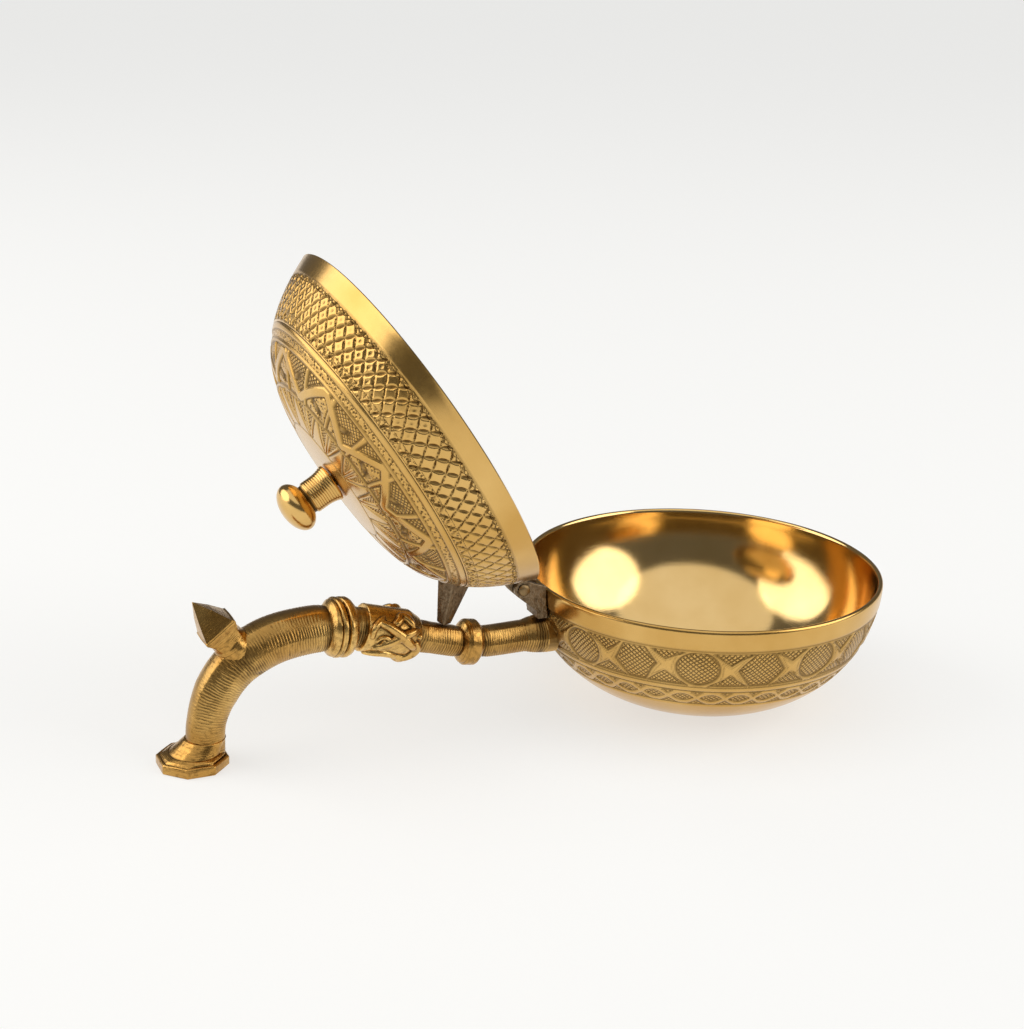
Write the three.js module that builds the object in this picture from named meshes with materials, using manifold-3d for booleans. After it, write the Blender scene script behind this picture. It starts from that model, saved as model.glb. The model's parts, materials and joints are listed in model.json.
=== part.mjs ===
// A brass prayer lamp with a hinged lid and a cast handle that ends in a foot.
//
// Millimetres, +Z up. The origin is the middle of the bowl's base, on the table. The handle runs
// along -X and the hinge pin along Y. The lid is modelled closed, in a group whose own origin is the
// hinge axis, and that group is turned back to the angle at which the lid leans on its stop.

import * as THREE from "three";
import { mergeVertices } from "three/addons/utils/BufferGeometryUtils.js";
import { ConvexGeometry } from "three/addons/geometries/ConvexGeometry.js";
import Module from "manifold-3d";

const wasm = await Module();
wasm.setup();

// ---- driving dimensions ----

const SEAT_GAP = 0.3; // between pieces that are brazed, screwed or resting together
const RUN_GAP = 0.35; // beside and around pieces that turn on each other

const BOWL_R = 50; // outside radius at the rim
const BOWL_H = 36.5;
const BOWL_FLAT_R = 14; // flat circle that stands on the table
const BOWL_WALL = 1.5;

const LID_H = 27; // from the rim plane to the crown
const LID_WALL = 1.5;
const LID_CROWN_PULL = 25; // these three pull the dome's curve: level out from the crown, ...
const LID_SHOULDER_IN = 10.3; // ... over a full shoulder, this far inside the rim ...
const LID_SHOULDER_DROP = 1; // ... this far below the crown, and down to the rim
const LID_OPEN_DEG = 121.6; // from closed to leaning on the stop

const HINGE_OUT = 6.8; // hinge axis outside the bowl's rim
const HINGE_UP = 0.8; // hinge axis above the bowl's rim
const PIN_R = 1;
const PIN_HEAD_R = 1.7;
const PIN_HEAD_TOP_R = 1.2;
const PIN_HEAD_T = 0.8;
const KNUCKLE_R = 2.5;
const LUG_W = 3.4; // width of the lid's knuckle
const LUG_REACH = 5; // how far up the lid the lug is brazed
const EAR_T = 1.6; // thickness of each bracket ear
const BRACKET_OUT = 2.2; // how far the bracket's web stands out from the bowl's widest wall

const STOP_OUT = 28.2; // middle of the stop's tip, outside the bowl's rim
const STOP_TIP_W = 3.6;
const STOP_TIP_T = 3.2;
const STOP_RIDGE_SHARE = 0.3; // the ridge is this share of the width from the outer edge
const STOP_ROOT_W = 12.4; // along the handle, at the stop's end inside the lid
const STOP_ROOT_T = 7; // across the handle, there
const STOP_SINK_LID = 3; // how far that end starts inside the lid, before the lid's shape is cut out
const STOP_SINK_NECK = 1; // the same at the tip, in the handle's neck

const KNOB_H = 15.2;
const KNOB_HEAD_R = 6.5;
const KNOB_HEAD_L = 7.8;
const KNOB_GROOVE_R = 3.8; // groove behind the head
const KNOB_GROOVE_L = 0.5;
const KNOB_NECK_R = 4.3;
const KNOB_BASE_R = 5;
const KNOB_BASE_T = 1;
const KNOB_COVE_L = 3.6; // over which the base curves in to the neck, ...
const KNOB_COVE_MIDDLE_R = 4.5; // ... a third of the way along it
const SCREW_R = 1.5;
const SCREW_HEAD_R = 3;
const SCREW_HEAD_TOP_R = 2.4;
const SCREW_HEAD_T = 1.6;
const SCREW_BITE = 6; // how far the screw goes into the knob
const SCREW_TIP_ROOM = 1; // the knob's hole is this much deeper

const ROOT_DROP = 13.9; // handle's middle below the rim where it leaves the bowl
const ROOT_R = 4.4;
const ROOT_FLARE_R = 5.4;
const ROOT_FLARE_L = 5;
const NECK_R = 4.3;
const ARM_RISE = 9.8; // handle's middle at the top of the arm, above the root's
const ARM_R = 6.2;
const BEND_R = 6.5;
const LEG_OUT = 93; // leg's middle, outside the bowl's rim
const LEG_R = 5.1;

const SMALL_COLLAR_OUT = 20.8; // middles of the parts on the handle, outside the bowl's rim
const NECK_OUT = 32;
const KNOT_OUT = 43.8;
const LARGE_COLLAR_OUT = 57.4;
const BEND_START_IN = 16; // these four are inwards of the leg's middle, ...
const BEND_IN = 8.4;
const BEND_END_IN = 3;
const LEG_TOP_IN = 0.4;
const BEND_START_DROP = 1.9; // ... and this far below the arm's
const BEND_DROP = 6.4;
const BEND_END_DROP = 13.4;
const LEG_TOP_DROP = 21;
const SMALL_COLLAR_RISE = 0.4; // middles above the root's
const NECK_RISE = 3.2;
const KNOT_DROP = 3; // middles below the arm's
const LARGE_COLLAR_DROP = 0.2;

const SMALL_COLLAR_R = 6.2;
const SMALL_COLLAR_L = 6;
const LARGE_COLLAR_R = 7.9;
const LARGE_COLLAR_L = 7.6;
const COLLAR_BEVEL = 0.16; // share of its radius that a collar loses at each end
const KNOT_R = 7.2;
const KNOT_L = 16;
const KNOT_TAPER_L = 3.2; // over which the knot narrows to the neck
const KNOT_BELLY_R = 4.6;
const KNOT_BELLY_DROP = 4.8; // the belly's middle below the knot's
const KNOT_BELLY_IN = 3.2; // and towards the bowl

const BUD_R = 6.6;
const BUD_NECK_R = 4.6;
const BUD_POINT_L = 9.4;
const BUD_BAND_L = 5.8;
const BUD_EDGE_T = 0.6; // flat edge round the bud's widest part
const BUD_LEAN_DEG = 38.5; // from upright, outwards
const BUD_ROOT_IN = 2.4; // where the bud's axis starts, inwards of the bend's middle and above it
const BUD_ROOT_UP = 1;

const FOOT_R = 9.3;
const FOOT_EDGE_T = 2.6;
const FOOT_SHOULDER_R = 6.7;
const FOOT_SHOULDER_H = 4.2;
const FOOT_H = 7;
const FOOT_SIDES = 8;
const FOOT_SHIFT = 3.4; // the foot's middle, outwards of the leg's

const ROOT_SINK = 4; // how far the handle and bracket start inside the rim, before the bowl is cut out
const WEB_FLARE = 1; // the web's top stands out this much more than its bottom
const EAR_RISE = 2; // the ears' outer edge starts this far above the web's bottom

const SIDES = { bowl: 72, lid: 72, knob: 40, rod: 16, collar: 20, pin: 24, screw: 20, bud: 4 };
const ROD_STEPS = 64;

// ---- solids ----

// A closed solid from a three.js geometry. Its shared corners are merged first, and triangles
// that shrink to a line at a pole are left out.
function solid(geometry) {
  const bare = geometry.clone();
  bare.deleteAttribute("normal");
  bare.deleteAttribute("uv");
  const merged = mergeVertices(bare, 1e-4);
  const corners = Array.from(merged.index.array);
  const kept = [];
  for (let i = 0; i < corners.length; i += 3) {
    const [a, b, c] = corners.slice(i, i + 3);
    if (a !== b && b !== c && c !== a) kept.push(a, b, c);
  }
  const mesh = new wasm.Mesh({
    numProp: 3,
    vertProperties: new Float32Array(merged.attributes.position.array),
    triVerts: new Uint32Array(kept),
  });
  return new wasm.Manifold(mesh);
}

// The three.js geometry of a solid.
function geometryOf(body) {
  const mesh = body.getMesh();
  const geometry = new THREE.BufferGeometry();
  geometry.setAttribute("position", new THREE.BufferAttribute(mesh.vertProperties, 3));
  geometry.setIndex(new THREE.BufferAttribute(mesh.triVerts, 1));
  geometry.computeVertexNormals();
  return geometry;
}

// A turned solid about Z. The profile is [radius, height] pairs with its material on the left, so
// it runs outwards along the bottom, up the outside and back along the top.
function turned(profile, sides) {
  const points = profile.map(([r, z]) => new THREE.Vector2(r, z));
  if (points[0].distanceTo(points[points.length - 1]) > 1e-6 && points[0].x > 0) points.push(points[0]);
  const lathe = new THREE.LatheGeometry(points, sides);
  return solid(lathe.rotateX(Math.PI / 2));
}

// A rod of changing radius along a curve that lies in the XZ plane, with flat ends.
function rod(curve, radiusAt, sides, steps) {
  const positions = [];
  for (let i = 0; i <= steps; i += 1) {
    const middle = curve.getPoint(i / steps);
    const along = curve.getTangent(i / steps);
    const across = new THREE.Vector3(-along.z, 0, along.x);
    const r = radiusAt(i / steps);
    for (let j = 0; j < sides; j += 1) {
      const turn = (2 * Math.PI * j) / sides;
      const point = middle.clone().addScaledVector(across, r * Math.cos(turn));
      point.y += r * Math.sin(turn);
      positions.push(...point.toArray());
    }
  }
  const first = positions.length / 3;
  positions.push(...curve.getPoint(0).toArray(), ...curve.getPoint(1).toArray());
  const corners = [];
  for (let j = 0; j < sides; j += 1) {
    const k = (j + 1) % sides;
    for (let i = 0; i < steps; i += 1) {
      const here = i * sides;
      const next = here + sides;
      corners.push(here + j, next + j, here + k, here + k, next + j, next + k);
    }
    corners.push(first, j, k);
    corners.push(first + 1, steps * sides + k, steps * sides + j);
  }
  const geometry = new THREE.BufferGeometry();
  geometry.setAttribute("position", new THREE.Float32BufferAttribute(positions, 3));
  geometry.setIndex(corners);
  return solid(geometry);
}

// A solid moved so that its Z axis lies along a direction and its origin on a point.
function placed(body, origin, direction) {
  const turn = new THREE.Quaternion().setFromUnitVectors(new THREE.Vector3(0, 0, 1), direction);
  const matrix = new THREE.Matrix4().compose(origin, turn, new THREE.Vector3(1, 1, 1));
  return body.transform(matrix.elements);
}

// A cylinder along Y.
function crosswise(r, length, x, z, sides) {
  return solid(new THREE.CylinderGeometry(r, r, length, sides).translate(x, 0, z));
}

// A convex solid around points.
function hull(points) {
  return solid(new ConvexGeometry(points));
}

function piece(name, body, color, roughness, metalness) {
  const material = new THREE.MeshStandardMaterial({ color, roughness, metalness });
  const mesh = new THREE.Mesh(geometryOf(body), material);
  mesh.name = name;
  return mesh;
}

// ---- places that several pieces share ----

const HINGE = new THREE.Vector3(-(BOWL_R + HINGE_OUT), 0, BOWL_H + HINGE_UP);
const EAR_IN = LUG_W / 2 + RUN_GAP; // inner face of each ear
const EAR_OUT = EAR_IN + EAR_T;
const PIN_HOLE_R = PIN_R + RUN_GAP;

const ROOT_Z = BOWL_H - ROOT_DROP;
const ARM_Z = ROOT_Z + ARM_RISE;

// A point in the handle's plane, so far outside the bowl's rim and so high.
function handlePoint(out, z) {
  return new THREE.Vector3(-(BOWL_R + out), 0, z);
}

// ---- bowl ----

// The side is a quarter of an ellipse from the flat base to the upright rim.
function bowlSide(inset, steps) {
  const points = [];
  for (let i = 0; i <= steps; i += 1) {
    const turn = (i / steps) * (Math.PI / 2);
    const r = BOWL_FLAT_R + (BOWL_R - inset - BOWL_FLAT_R) * Math.sin(turn);
    points.push([r, BOWL_H - (BOWL_H - inset) * Math.cos(turn)]);
  }
  return points;
}

function bowlBody() {
  const outside = bowlSide(0, 14);
  const inside = bowlSide(BOWL_WALL, 12).reverse();
  return turned([[0, 0], ...outside, ...inside, [0, BOWL_WALL]], SIDES.bowl);
}

// The bowl's outside, grown by the seat gap and carried straight up past the hinge. It cuts what is
// brazed to the bowl, and keeps that clear of the closed lid's rim too.
function bowlSeat() {
  const top = HINGE.z + KNUCKLE_R;
  const outside = [...bowlSide(-SEAT_GAP, 14), [BOWL_R + SEAT_GAP, top]];
  return turned([[0, -SEAT_GAP], ...outside, [0, top]], SIDES.bowl);
}

// ---- lid, modelled closed about the hinge axis ----

const LID_BASE = new THREE.Vector3(-HINGE.x, 0, BOWL_H + SEAT_GAP - HINGE.z); // middle of its rim plane

// The dome's section from the rim to the crown.
function domeSide(inset, steps) {
  const curve = new THREE.CubicBezierCurve(
    new THREE.Vector2(BOWL_R - inset, 0),
    new THREE.Vector2(BOWL_R - LID_SHOULDER_IN - inset, LID_H - LID_SHOULDER_DROP - inset),
    new THREE.Vector2(LID_CROWN_PULL, LID_H - inset),
    new THREE.Vector2(0, LID_H - inset),
  );
  return curve.getPoints(steps).map((p) => [p.x, p.y]);
}

function lidBody() {
  const hole = SCREW_R + SEAT_GAP;
  const outside = domeSide(0, 16).filter(([r]) => r > hole);
  const inside = domeSide(LID_WALL, 14).filter(([r]) => r > hole).reverse();
  const rim = [...outside, [hole, LID_H], [hole, LID_H - LID_WALL], ...inside];
  return turned(rim, SIDES.lid).translate(LID_BASE.toArray());
}

// The lid's outside, grown by the seat gap and filled in, which cuts what is brazed to it.
function lidSeat() {
  return turned([[0, 0], ...domeSide(-SEAT_GAP, 16)], SIDES.lid).translate(LID_BASE.toArray());
}

function lidLug() {
  const points = [];
  const atRim = new THREE.Vector2(HINGE_OUT, LID_BASE.z + 2 * SEAT_GAP);
  const upTheLid = new THREE.Vector2(HINGE_OUT + LUG_REACH / 2, LID_BASE.z + LUG_REACH);
  for (const y of [-LUG_W / 2, LUG_W / 2]) {
    for (let i = 0; i < SIDES.pin; i += 1) {
      const turn = (2 * Math.PI * i) / SIDES.pin;
      points.push(new THREE.Vector3(KNUCKLE_R * Math.cos(turn), y, KNUCKLE_R * Math.sin(turn)));
    }
    points.push(new THREE.Vector3(atRim.x, y, atRim.y), new THREE.Vector3(upTheLid.x, y, upTheLid.y));
  }
  const bore = crosswise(PIN_HOLE_R, 2 * LUG_W, 0, 0, SIDES.pin);
  return hull(points).subtract(lidSeat()).subtract(bore);
}

// ---- knob and its screw, on the lid's crown ----

const CROWN = new THREE.Vector3(LID_BASE.x, 0, LID_BASE.z + LID_H);

// The head is most of an ellipse, from the groove behind it to its apex.
function knobHead(steps) {
  const half = KNOB_HEAD_L / 2;
  const start = -Math.acos(KNOB_GROOVE_R / KNOB_HEAD_R);
  const points = [];
  for (let i = 0; i < steps; i += 1) {
    const turn = THREE.MathUtils.lerp(start, Math.PI / 2, i / steps);
    points.push([KNOB_HEAD_R * Math.cos(turn), KNOB_H - half + half * Math.sin(turn)]);
  }
  return [...points, [0, KNOB_H]];
}

function knobBody() {
  const hole = SCREW_R + SEAT_GAP;
  const holeTop = SCREW_BITE + SCREW_TIP_ROOM;
  const head = knobHead(12);
  const grooveTop = head[0][1];
  const profile = [
    [hole, SEAT_GAP],
    [KNOB_BASE_R, SEAT_GAP],
    [KNOB_BASE_R, KNOB_BASE_T],
    [KNOB_COVE_MIDDLE_R, KNOB_BASE_T + KNOB_COVE_L / 3],
    [KNOB_NECK_R, KNOB_BASE_T + KNOB_COVE_L],
    [KNOB_NECK_R, grooveTop - 2 * KNOB_GROOVE_L],
    [KNOB_GROOVE_R, grooveTop - KNOB_GROOVE_L],
    ...head,
    [0, holeTop],
    [hole, holeTop],
    [hole, SEAT_GAP],
  ];
  return turned(profile, SIDES.knob).translate(CROWN.toArray());
}

function screwBody() {
  const underside = -LID_WALL - SEAT_GAP;
  const profile = [
    [0, underside - SCREW_HEAD_T],
    [SCREW_HEAD_TOP_R, underside - SCREW_HEAD_T],
    [SCREW_HEAD_R, underside - SCREW_HEAD_T / 2],
    [SCREW_HEAD_R, underside],
    [SCREW_R, underside],
    [SCREW_R, SCREW_BITE],
    [0, SCREW_BITE],
  ];
  return turned(profile, SIDES.screw).translate(CROWN.toArray());
}

// ---- handle, one casting ----

const BEND_OUT = LEG_OUT - BEND_IN;
const BEND_START_OUT = LEG_OUT - BEND_START_IN;

const centreline = new THREE.CatmullRomCurve3([
  handlePoint(-ROOT_SINK, ROOT_Z),
  handlePoint(ROOT_FLARE_L, ROOT_Z),
  handlePoint(SMALL_COLLAR_OUT, ROOT_Z + SMALL_COLLAR_RISE),
  handlePoint(NECK_OUT, ROOT_Z + NECK_RISE),
  handlePoint(KNOT_OUT, ARM_Z - KNOT_DROP),
  handlePoint(LARGE_COLLAR_OUT, ARM_Z - LARGE_COLLAR_DROP),
  handlePoint((LARGE_COLLAR_OUT + BEND_START_OUT) / 2, ARM_Z),
  handlePoint(BEND_START_OUT, ARM_Z - BEND_START_DROP),
  handlePoint(BEND_OUT, ARM_Z - BEND_DROP),
  handlePoint(LEG_OUT - BEND_END_IN, ARM_Z - BEND_END_DROP),
  handlePoint(LEG_OUT - LEG_TOP_IN, ARM_Z - LEG_TOP_DROP),
  handlePoint(LEG_OUT, FOOT_EDGE_T),
]);

// How far along the centreline, from 0 to 1, the handle is so far outside the rim.
function alongAt(out) {
  const steps = 400;
  for (let i = 0; i < steps; i += 1) {
    if (-centreline.getPoint(i / steps).x - BOWL_R >= out) return i / steps;
  }
  return 1;
}

// The rod's radius at stations along it, straight between them.
const ROD_RADII = [
  [0, ROOT_FLARE_R],
  [alongAt(ROOT_FLARE_L / 5), ROOT_FLARE_R],
  [alongAt(ROOT_FLARE_L), ROOT_R],
  [alongAt(NECK_OUT), NECK_R],
  [alongAt(LARGE_COLLAR_OUT + LARGE_COLLAR_L / 2), ARM_R],
  [alongAt((BEND_START_OUT + BEND_OUT) / 2), BEND_R],
  [alongAt(LEG_OUT - BEND_END_IN), (BEND_R + LEG_R) / 2],
  [alongAt(LEG_OUT - LEG_TOP_IN), LEG_R],
  [1, LEG_R],
];

function rodRadius(u) {
  const k = ROD_RADII.findIndex(([at]) => at >= u);
  if (k <= 0) return ROD_RADII[0][1];
  const [u0, r0] = ROD_RADII[k - 1];
  const [u1, r1] = ROD_RADII[k];
  return THREE.MathUtils.lerp(r0, r1, u1 > u0 ? (u - u0) / (u1 - u0) : 1);
}

function onHandle(body, out) {
  const u = alongAt(out);
  return placed(body, centreline.getPoint(u), centreline.getTangent(u));
}

function collar(r, length) {
  const half = length / 2;
  const end = r * (1 - COLLAR_BEVEL);
  return turned(
    [[0, -half], [end, -half], [r, -half / 2], [r, half / 2], [end, half], [0, half]],
    SIDES.collar,
  );
}

// The carved knot: a barrel with a bulge under its inner end.
function knot() {
  const half = KNOT_L / 2;
  const barrel = turned(
    [[0, -half], [NECK_R, -half], [KNOT_R, KNOT_TAPER_L - half], [KNOT_R, half], [0, half]],
    SIDES.collar,
  );
  const belly = solid(new THREE.SphereGeometry(KNOT_BELLY_R, 16, 10));
  const middle = handlePoint(KNOT_OUT - KNOT_BELLY_IN, ARM_Z - KNOT_DROP - KNOT_BELLY_DROP);
  return onHandle(barrel, KNOT_OUT).add(belly.translate(middle.toArray()));
}

// The four-sided pointed bud that grows out of the bend.
function bud() {
  const lean = THREE.MathUtils.degToRad(BUD_LEAN_DEG);
  const direction = new THREE.Vector3(-Math.sin(lean), 0, Math.cos(lean));
  const band = BEND_R + BUD_BAND_L;
  const profile = [
    [0, 0],
    [BUD_NECK_R, 0],
    [BUD_NECK_R, BEND_R - BUD_EDGE_T],
    [BUD_R, band - BUD_EDGE_T],
    [BUD_R, band],
    [0, band + BUD_POINT_L],
  ];
  const base = handlePoint(BEND_OUT - BUD_ROOT_IN, ARM_Z - BEND_DROP + BUD_ROOT_UP);
  return placed(turned(profile, SIDES.bud), base, direction);
}

function foot() {
  const profile = [
    [0, 0],
    [FOOT_R, 0],
    [FOOT_R, FOOT_EDGE_T],
    [FOOT_SHOULDER_R, FOOT_SHOULDER_H],
    [LEG_R, FOOT_H],
    [0, FOOT_H],
  ];
  return turned(profile, FOOT_SIDES).translate(handlePoint(LEG_OUT + FOOT_SHIFT, 0).toArray());
}

function handleBody() {
  return rod(centreline, rodRadius, SIDES.rod, ROD_STEPS)
    .add(onHandle(collar(SMALL_COLLAR_R, SMALL_COLLAR_L), SMALL_COLLAR_OUT))
    .add(knot())
    .add(onHandle(collar(LARGE_COLLAR_R, LARGE_COLLAR_L), LARGE_COLLAR_OUT))
    .add(bud())
    .add(foot())
    .subtract(bowlSeat());
}

// The handle's rod grown by the seat gap, which shapes the stop's tip.
function handleSeat() {
  return rod(centreline, (u) => rodRadius(u) + SEAT_GAP, SIDES.rod, ROD_STEPS);
}

// ---- hinge bracket, brazed to the bowl above the handle ----

const WEB_TOP = HINGE.z - KNUCKLE_R - RUN_GAP;
const WEB_BOTTOM = ROOT_Z + ROOT_FLARE_R + SEAT_GAP;
const WEB_X = -(BOWL_R + BRACKET_OUT);

function slab(outline, y0, y1) {
  return hull(outline.flatMap(([x, z]) => [new THREE.Vector3(x, y0, z), new THREE.Vector3(x, y1, z)]));
}

function bracketBody() {
  const inTheWall = -BOWL_R + ROOT_SINK;
  const knuckle = [];
  for (let i = 0; i < SIDES.pin; i += 1) {
    const turn = (2 * Math.PI * i) / SIDES.pin;
    knuckle.push([HINGE.x + KNUCKLE_R * Math.cos(turn), HINGE.z + KNUCKLE_R * Math.sin(turn)]);
  }
  const rim = BOWL_H - 2 * SEAT_GAP;
  const ear = [...knuckle, [inTheWall, rim], [inTheWall, WEB_BOTTOM], [WEB_X, WEB_BOTTOM + EAR_RISE]];
  const web = [
    [inTheWall, WEB_TOP],
    [WEB_X - WEB_FLARE, WEB_TOP],
    [WEB_X, WEB_BOTTOM],
    [inTheWall, WEB_BOTTOM],
  ];
  return slab(ear, -EAR_OUT, -EAR_IN)
    .add(slab(ear, EAR_IN, EAR_OUT))
    .add(slab(web, -EAR_OUT, EAR_OUT))
    .subtract(bowlSeat())
    .subtract(crosswise(PIN_HOLE_R, 4 * EAR_OUT, HINGE.x, HINGE.z, SIDES.pin));
}

function pinBody() {
  const shank = EAR_OUT + SEAT_GAP;
  const end = shank + PIN_HEAD_T;
  const profile = [
    [0, -end],
    [PIN_HEAD_TOP_R, -end],
    [PIN_HEAD_R, -shank],
    [PIN_R, -shank],
    [PIN_R, shank],
    [PIN_HEAD_R, shank],
    [PIN_HEAD_TOP_R, end],
    [0, end],
  ];
  return placed(turned(profile, SIDES.pin), HINGE, new THREE.Vector3(0, 1, 0));
}

// ---- stop: a thumb lever on the lid, whose tip rests on the handle's neck ----

// The open lid's outside over a point on the handle, so far outside the bowl's rim.
function openLidOver(out, toOpen) {
  const onLid = domeSide(0, 200).map(([r, z]) =>
    new THREE.Vector3(LID_BASE.x - r, 0, LID_BASE.z + z).applyMatrix4(toOpen),
  );
  const target = handlePoint(out, 0).x;
  return onLid.reduce((best, p) => (Math.abs(p.x - target) < Math.abs(best.x - target) ? p : best));
}

// It is shaped in the open pose, between the handle and the lid, then turned into the lid's group.
function stopBody(toOpen) {
  const onNeck = centreline.getPoint(alongAt(STOP_OUT));
  const tip = onNeck.clone().setZ(onNeck.z + NECK_R - STOP_SINK_NECK);
  const rootOut = STOP_OUT - (STOP_ROOT_W - STOP_TIP_W) / 2;
  const root = handlePoint(rootOut, openLidOver(STOP_OUT, toOpen).z + STOP_SINK_LID);
  const section = (middle, width, thick) => {
    const edgeX = middle.x - width / 2;
    const ridgeX = edgeX + STOP_RIDGE_SHARE * width;
    return [
      new THREE.Vector3(edgeX, 0, middle.z),
      new THREE.Vector3(ridgeX, thick / 2, middle.z),
      new THREE.Vector3(edgeX + width, 0, middle.z),
      new THREE.Vector3(ridgeX, -thick / 2, middle.z),
    ];
  };
  const ends = [...section(tip, STOP_TIP_W, STOP_TIP_T), ...section(root, STOP_ROOT_W, STOP_ROOT_T)];
  const inTheOpen = hull(ends).subtract(handleSeat());
  return inTheOpen.transform(toOpen.clone().invert().elements).subtract(lidSeat());
}

// ---- the lamp ----

const BRASS = 0xc79a45;
const POLISHED = 0xd9ab50;
const CAST_BRASS = 0xa9752a;
const ROUGH_CASTING = 0x75654a;

const lamp = new THREE.Group();
lamp.add(
  piece("bowl", bowlBody(), POLISHED, 0.18, 1),
  piece("handle", handleBody(), CAST_BRASS, 0.42, 1),
  piece("hinge_bracket", bracketBody(), ROUGH_CASTING, 0.6, 0.9),
  piece("hinge_pin", pinBody(), BRASS, 0.35, 1),
);

const lidGroup = new THREE.Group();
lidGroup.position.copy(HINGE);
lidGroup.rotation.y = -THREE.MathUtils.degToRad(LID_OPEN_DEG);
lidGroup.updateMatrix();

lidGroup.add(
  piece("lid", lidBody(), BRASS, 0.3, 1),
  piece("lid_lug", lidLug(), ROUGH_CASTING, 0.6, 0.9),
  piece("lid_stop", stopBody(lidGroup.matrix), ROUGH_CASTING, 0.7, 0.85),
  piece("knob", knobBody(), POLISHED, 0.25, 1),
  piece("knob_screw", screwBody(), BRASS, 0.35, 1),
);
lamp.add(lidGroup);

export default lamp;
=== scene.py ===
# %% [markdown]
# # A brass prayer lamp with a hinged lid
#
# The lamp is an open bowl, a domed lid that leans back on a stop, a turned knob, and a cast handle
# that bends down into a foot. The measured model is loaded first as a fixed frame. Every piece
# below is built around it, in metres, and rides on one of its two bodies: the lamp or the lid.

# %% Load the measured frame
import json
import math

import bmesh
import bpy
import numpy as np
from mathutils import Matrix, Vector, noise


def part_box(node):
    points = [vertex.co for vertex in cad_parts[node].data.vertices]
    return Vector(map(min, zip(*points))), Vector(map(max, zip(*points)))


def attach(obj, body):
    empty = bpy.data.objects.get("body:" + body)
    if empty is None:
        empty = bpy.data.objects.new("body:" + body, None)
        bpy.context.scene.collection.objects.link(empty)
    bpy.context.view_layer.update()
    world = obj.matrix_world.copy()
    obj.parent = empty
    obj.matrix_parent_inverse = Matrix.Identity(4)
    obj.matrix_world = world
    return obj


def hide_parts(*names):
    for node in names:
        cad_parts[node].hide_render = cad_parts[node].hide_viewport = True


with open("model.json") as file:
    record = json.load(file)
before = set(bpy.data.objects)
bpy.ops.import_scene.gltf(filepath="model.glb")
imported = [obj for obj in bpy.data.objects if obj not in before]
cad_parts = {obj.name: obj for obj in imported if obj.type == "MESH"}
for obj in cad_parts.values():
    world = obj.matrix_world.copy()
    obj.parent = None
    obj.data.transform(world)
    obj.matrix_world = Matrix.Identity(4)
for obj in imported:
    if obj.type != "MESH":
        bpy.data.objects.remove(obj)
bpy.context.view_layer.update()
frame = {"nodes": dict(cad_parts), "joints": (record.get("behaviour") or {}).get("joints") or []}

MM = 0.001

# %% [markdown]
# ## Sizes
#
# The rim, the bowl's height and the hinge are read from the frame, so that the visible pieces can't
# drift from the measured ones. The rest are a maker's sizes in millimetres.

# %% Sizes from the frame
bowl_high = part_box("bowl")[1]
BOWL_R = bowl_high.x / MM
BOWL_H = bowl_high.z / MM
HINGE = Vector(frame["joints"][0]["pos_m"]) / MM
OPEN_ANGLE = math.radians(frame["joints"][0]["range_deg"][1])
BOWL_FLAT_R = 14.0
SHEET = 1.5
SEAT_GAP = 0.3
LID_H = 27.0
print(f"bowl {BOWL_R:.1f} x {BOWL_H:.1f} mm, hinge at {tuple(round(v, 1) for v in HINGE)}")

# %% [markdown]
# ## Camera
#
# A long lens a little above the rim, looking from the handle's side. The roll is the lamp's own
# lean on the table.

# %% Put an object in the scene
def placed(name, data):
    """A new object in the scene, unturned and at the origin."""
    made = bpy.data.objects.new(name, data)
    bpy.context.scene.collection.objects.link(made)
    return made


def facing(direction):
    """The turn that points a light along a direction."""
    return Vector(direction).to_track_quat("-Z", "Y").to_euler()


# %% Place the camera
CAMERA_TARGET = Vector((-59.05, 0.0, 59.27))
CAMERA_TURN = math.radians(-25.11)
CAMERA_LIFT = math.radians(18.45)
CAMERA_ROLL = math.radians(2.17)
CAMERA_DISTANCE = 485.85
FOCAL_LENGTH = 64.56
SENSOR_WIDTH = 36.0
LENS_SHIFT = (-0.0014, -0.0059)
NEAREST_SEEN = 0.01

backwards = Vector((
    math.sin(CAMERA_TURN) * math.cos(CAMERA_LIFT),
    -math.cos(CAMERA_TURN) * math.cos(CAMERA_LIFT),
    math.sin(CAMERA_LIFT),
))
level_right = (-backwards).cross(Vector((0, 0, 1))).normalized()
level_up = level_right.cross(-backwards)
right = math.cos(CAMERA_ROLL) * level_right + math.sin(CAMERA_ROLL) * level_up
up = -math.sin(CAMERA_ROLL) * level_right + math.cos(CAMERA_ROLL) * level_up
camera = placed("camera", bpy.data.cameras.new("camera"))
camera.data.lens = FOCAL_LENGTH
camera.data.sensor_width = SENSOR_WIDTH
camera.data.shift_x, camera.data.shift_y = LENS_SHIFT
camera.data.clip_start = NEAREST_SEEN
camera.matrix_world = Matrix((right, up, backwards)).transposed().to_4x4()
camera.matrix_world.translation = (CAMERA_TARGET + CAMERA_DISTANCE * backwards) * MM
bpy.context.scene.camera = camera
print("camera at", tuple(round(v, 3) for v in camera.matrix_world.translation))

# %% [markdown]
# ## Arithmetic on node sockets
#
# The engraving is a rule: so many cuts round the lid, so deep. Written as nodes by hand, such a
# rule is hard to read. A `Wire` wraps one socket, and ordinary arithmetic on it adds Math nodes,
# both in Geometry Nodes, where the rule moves the metal, and in a material, where it darkens it.

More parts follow.
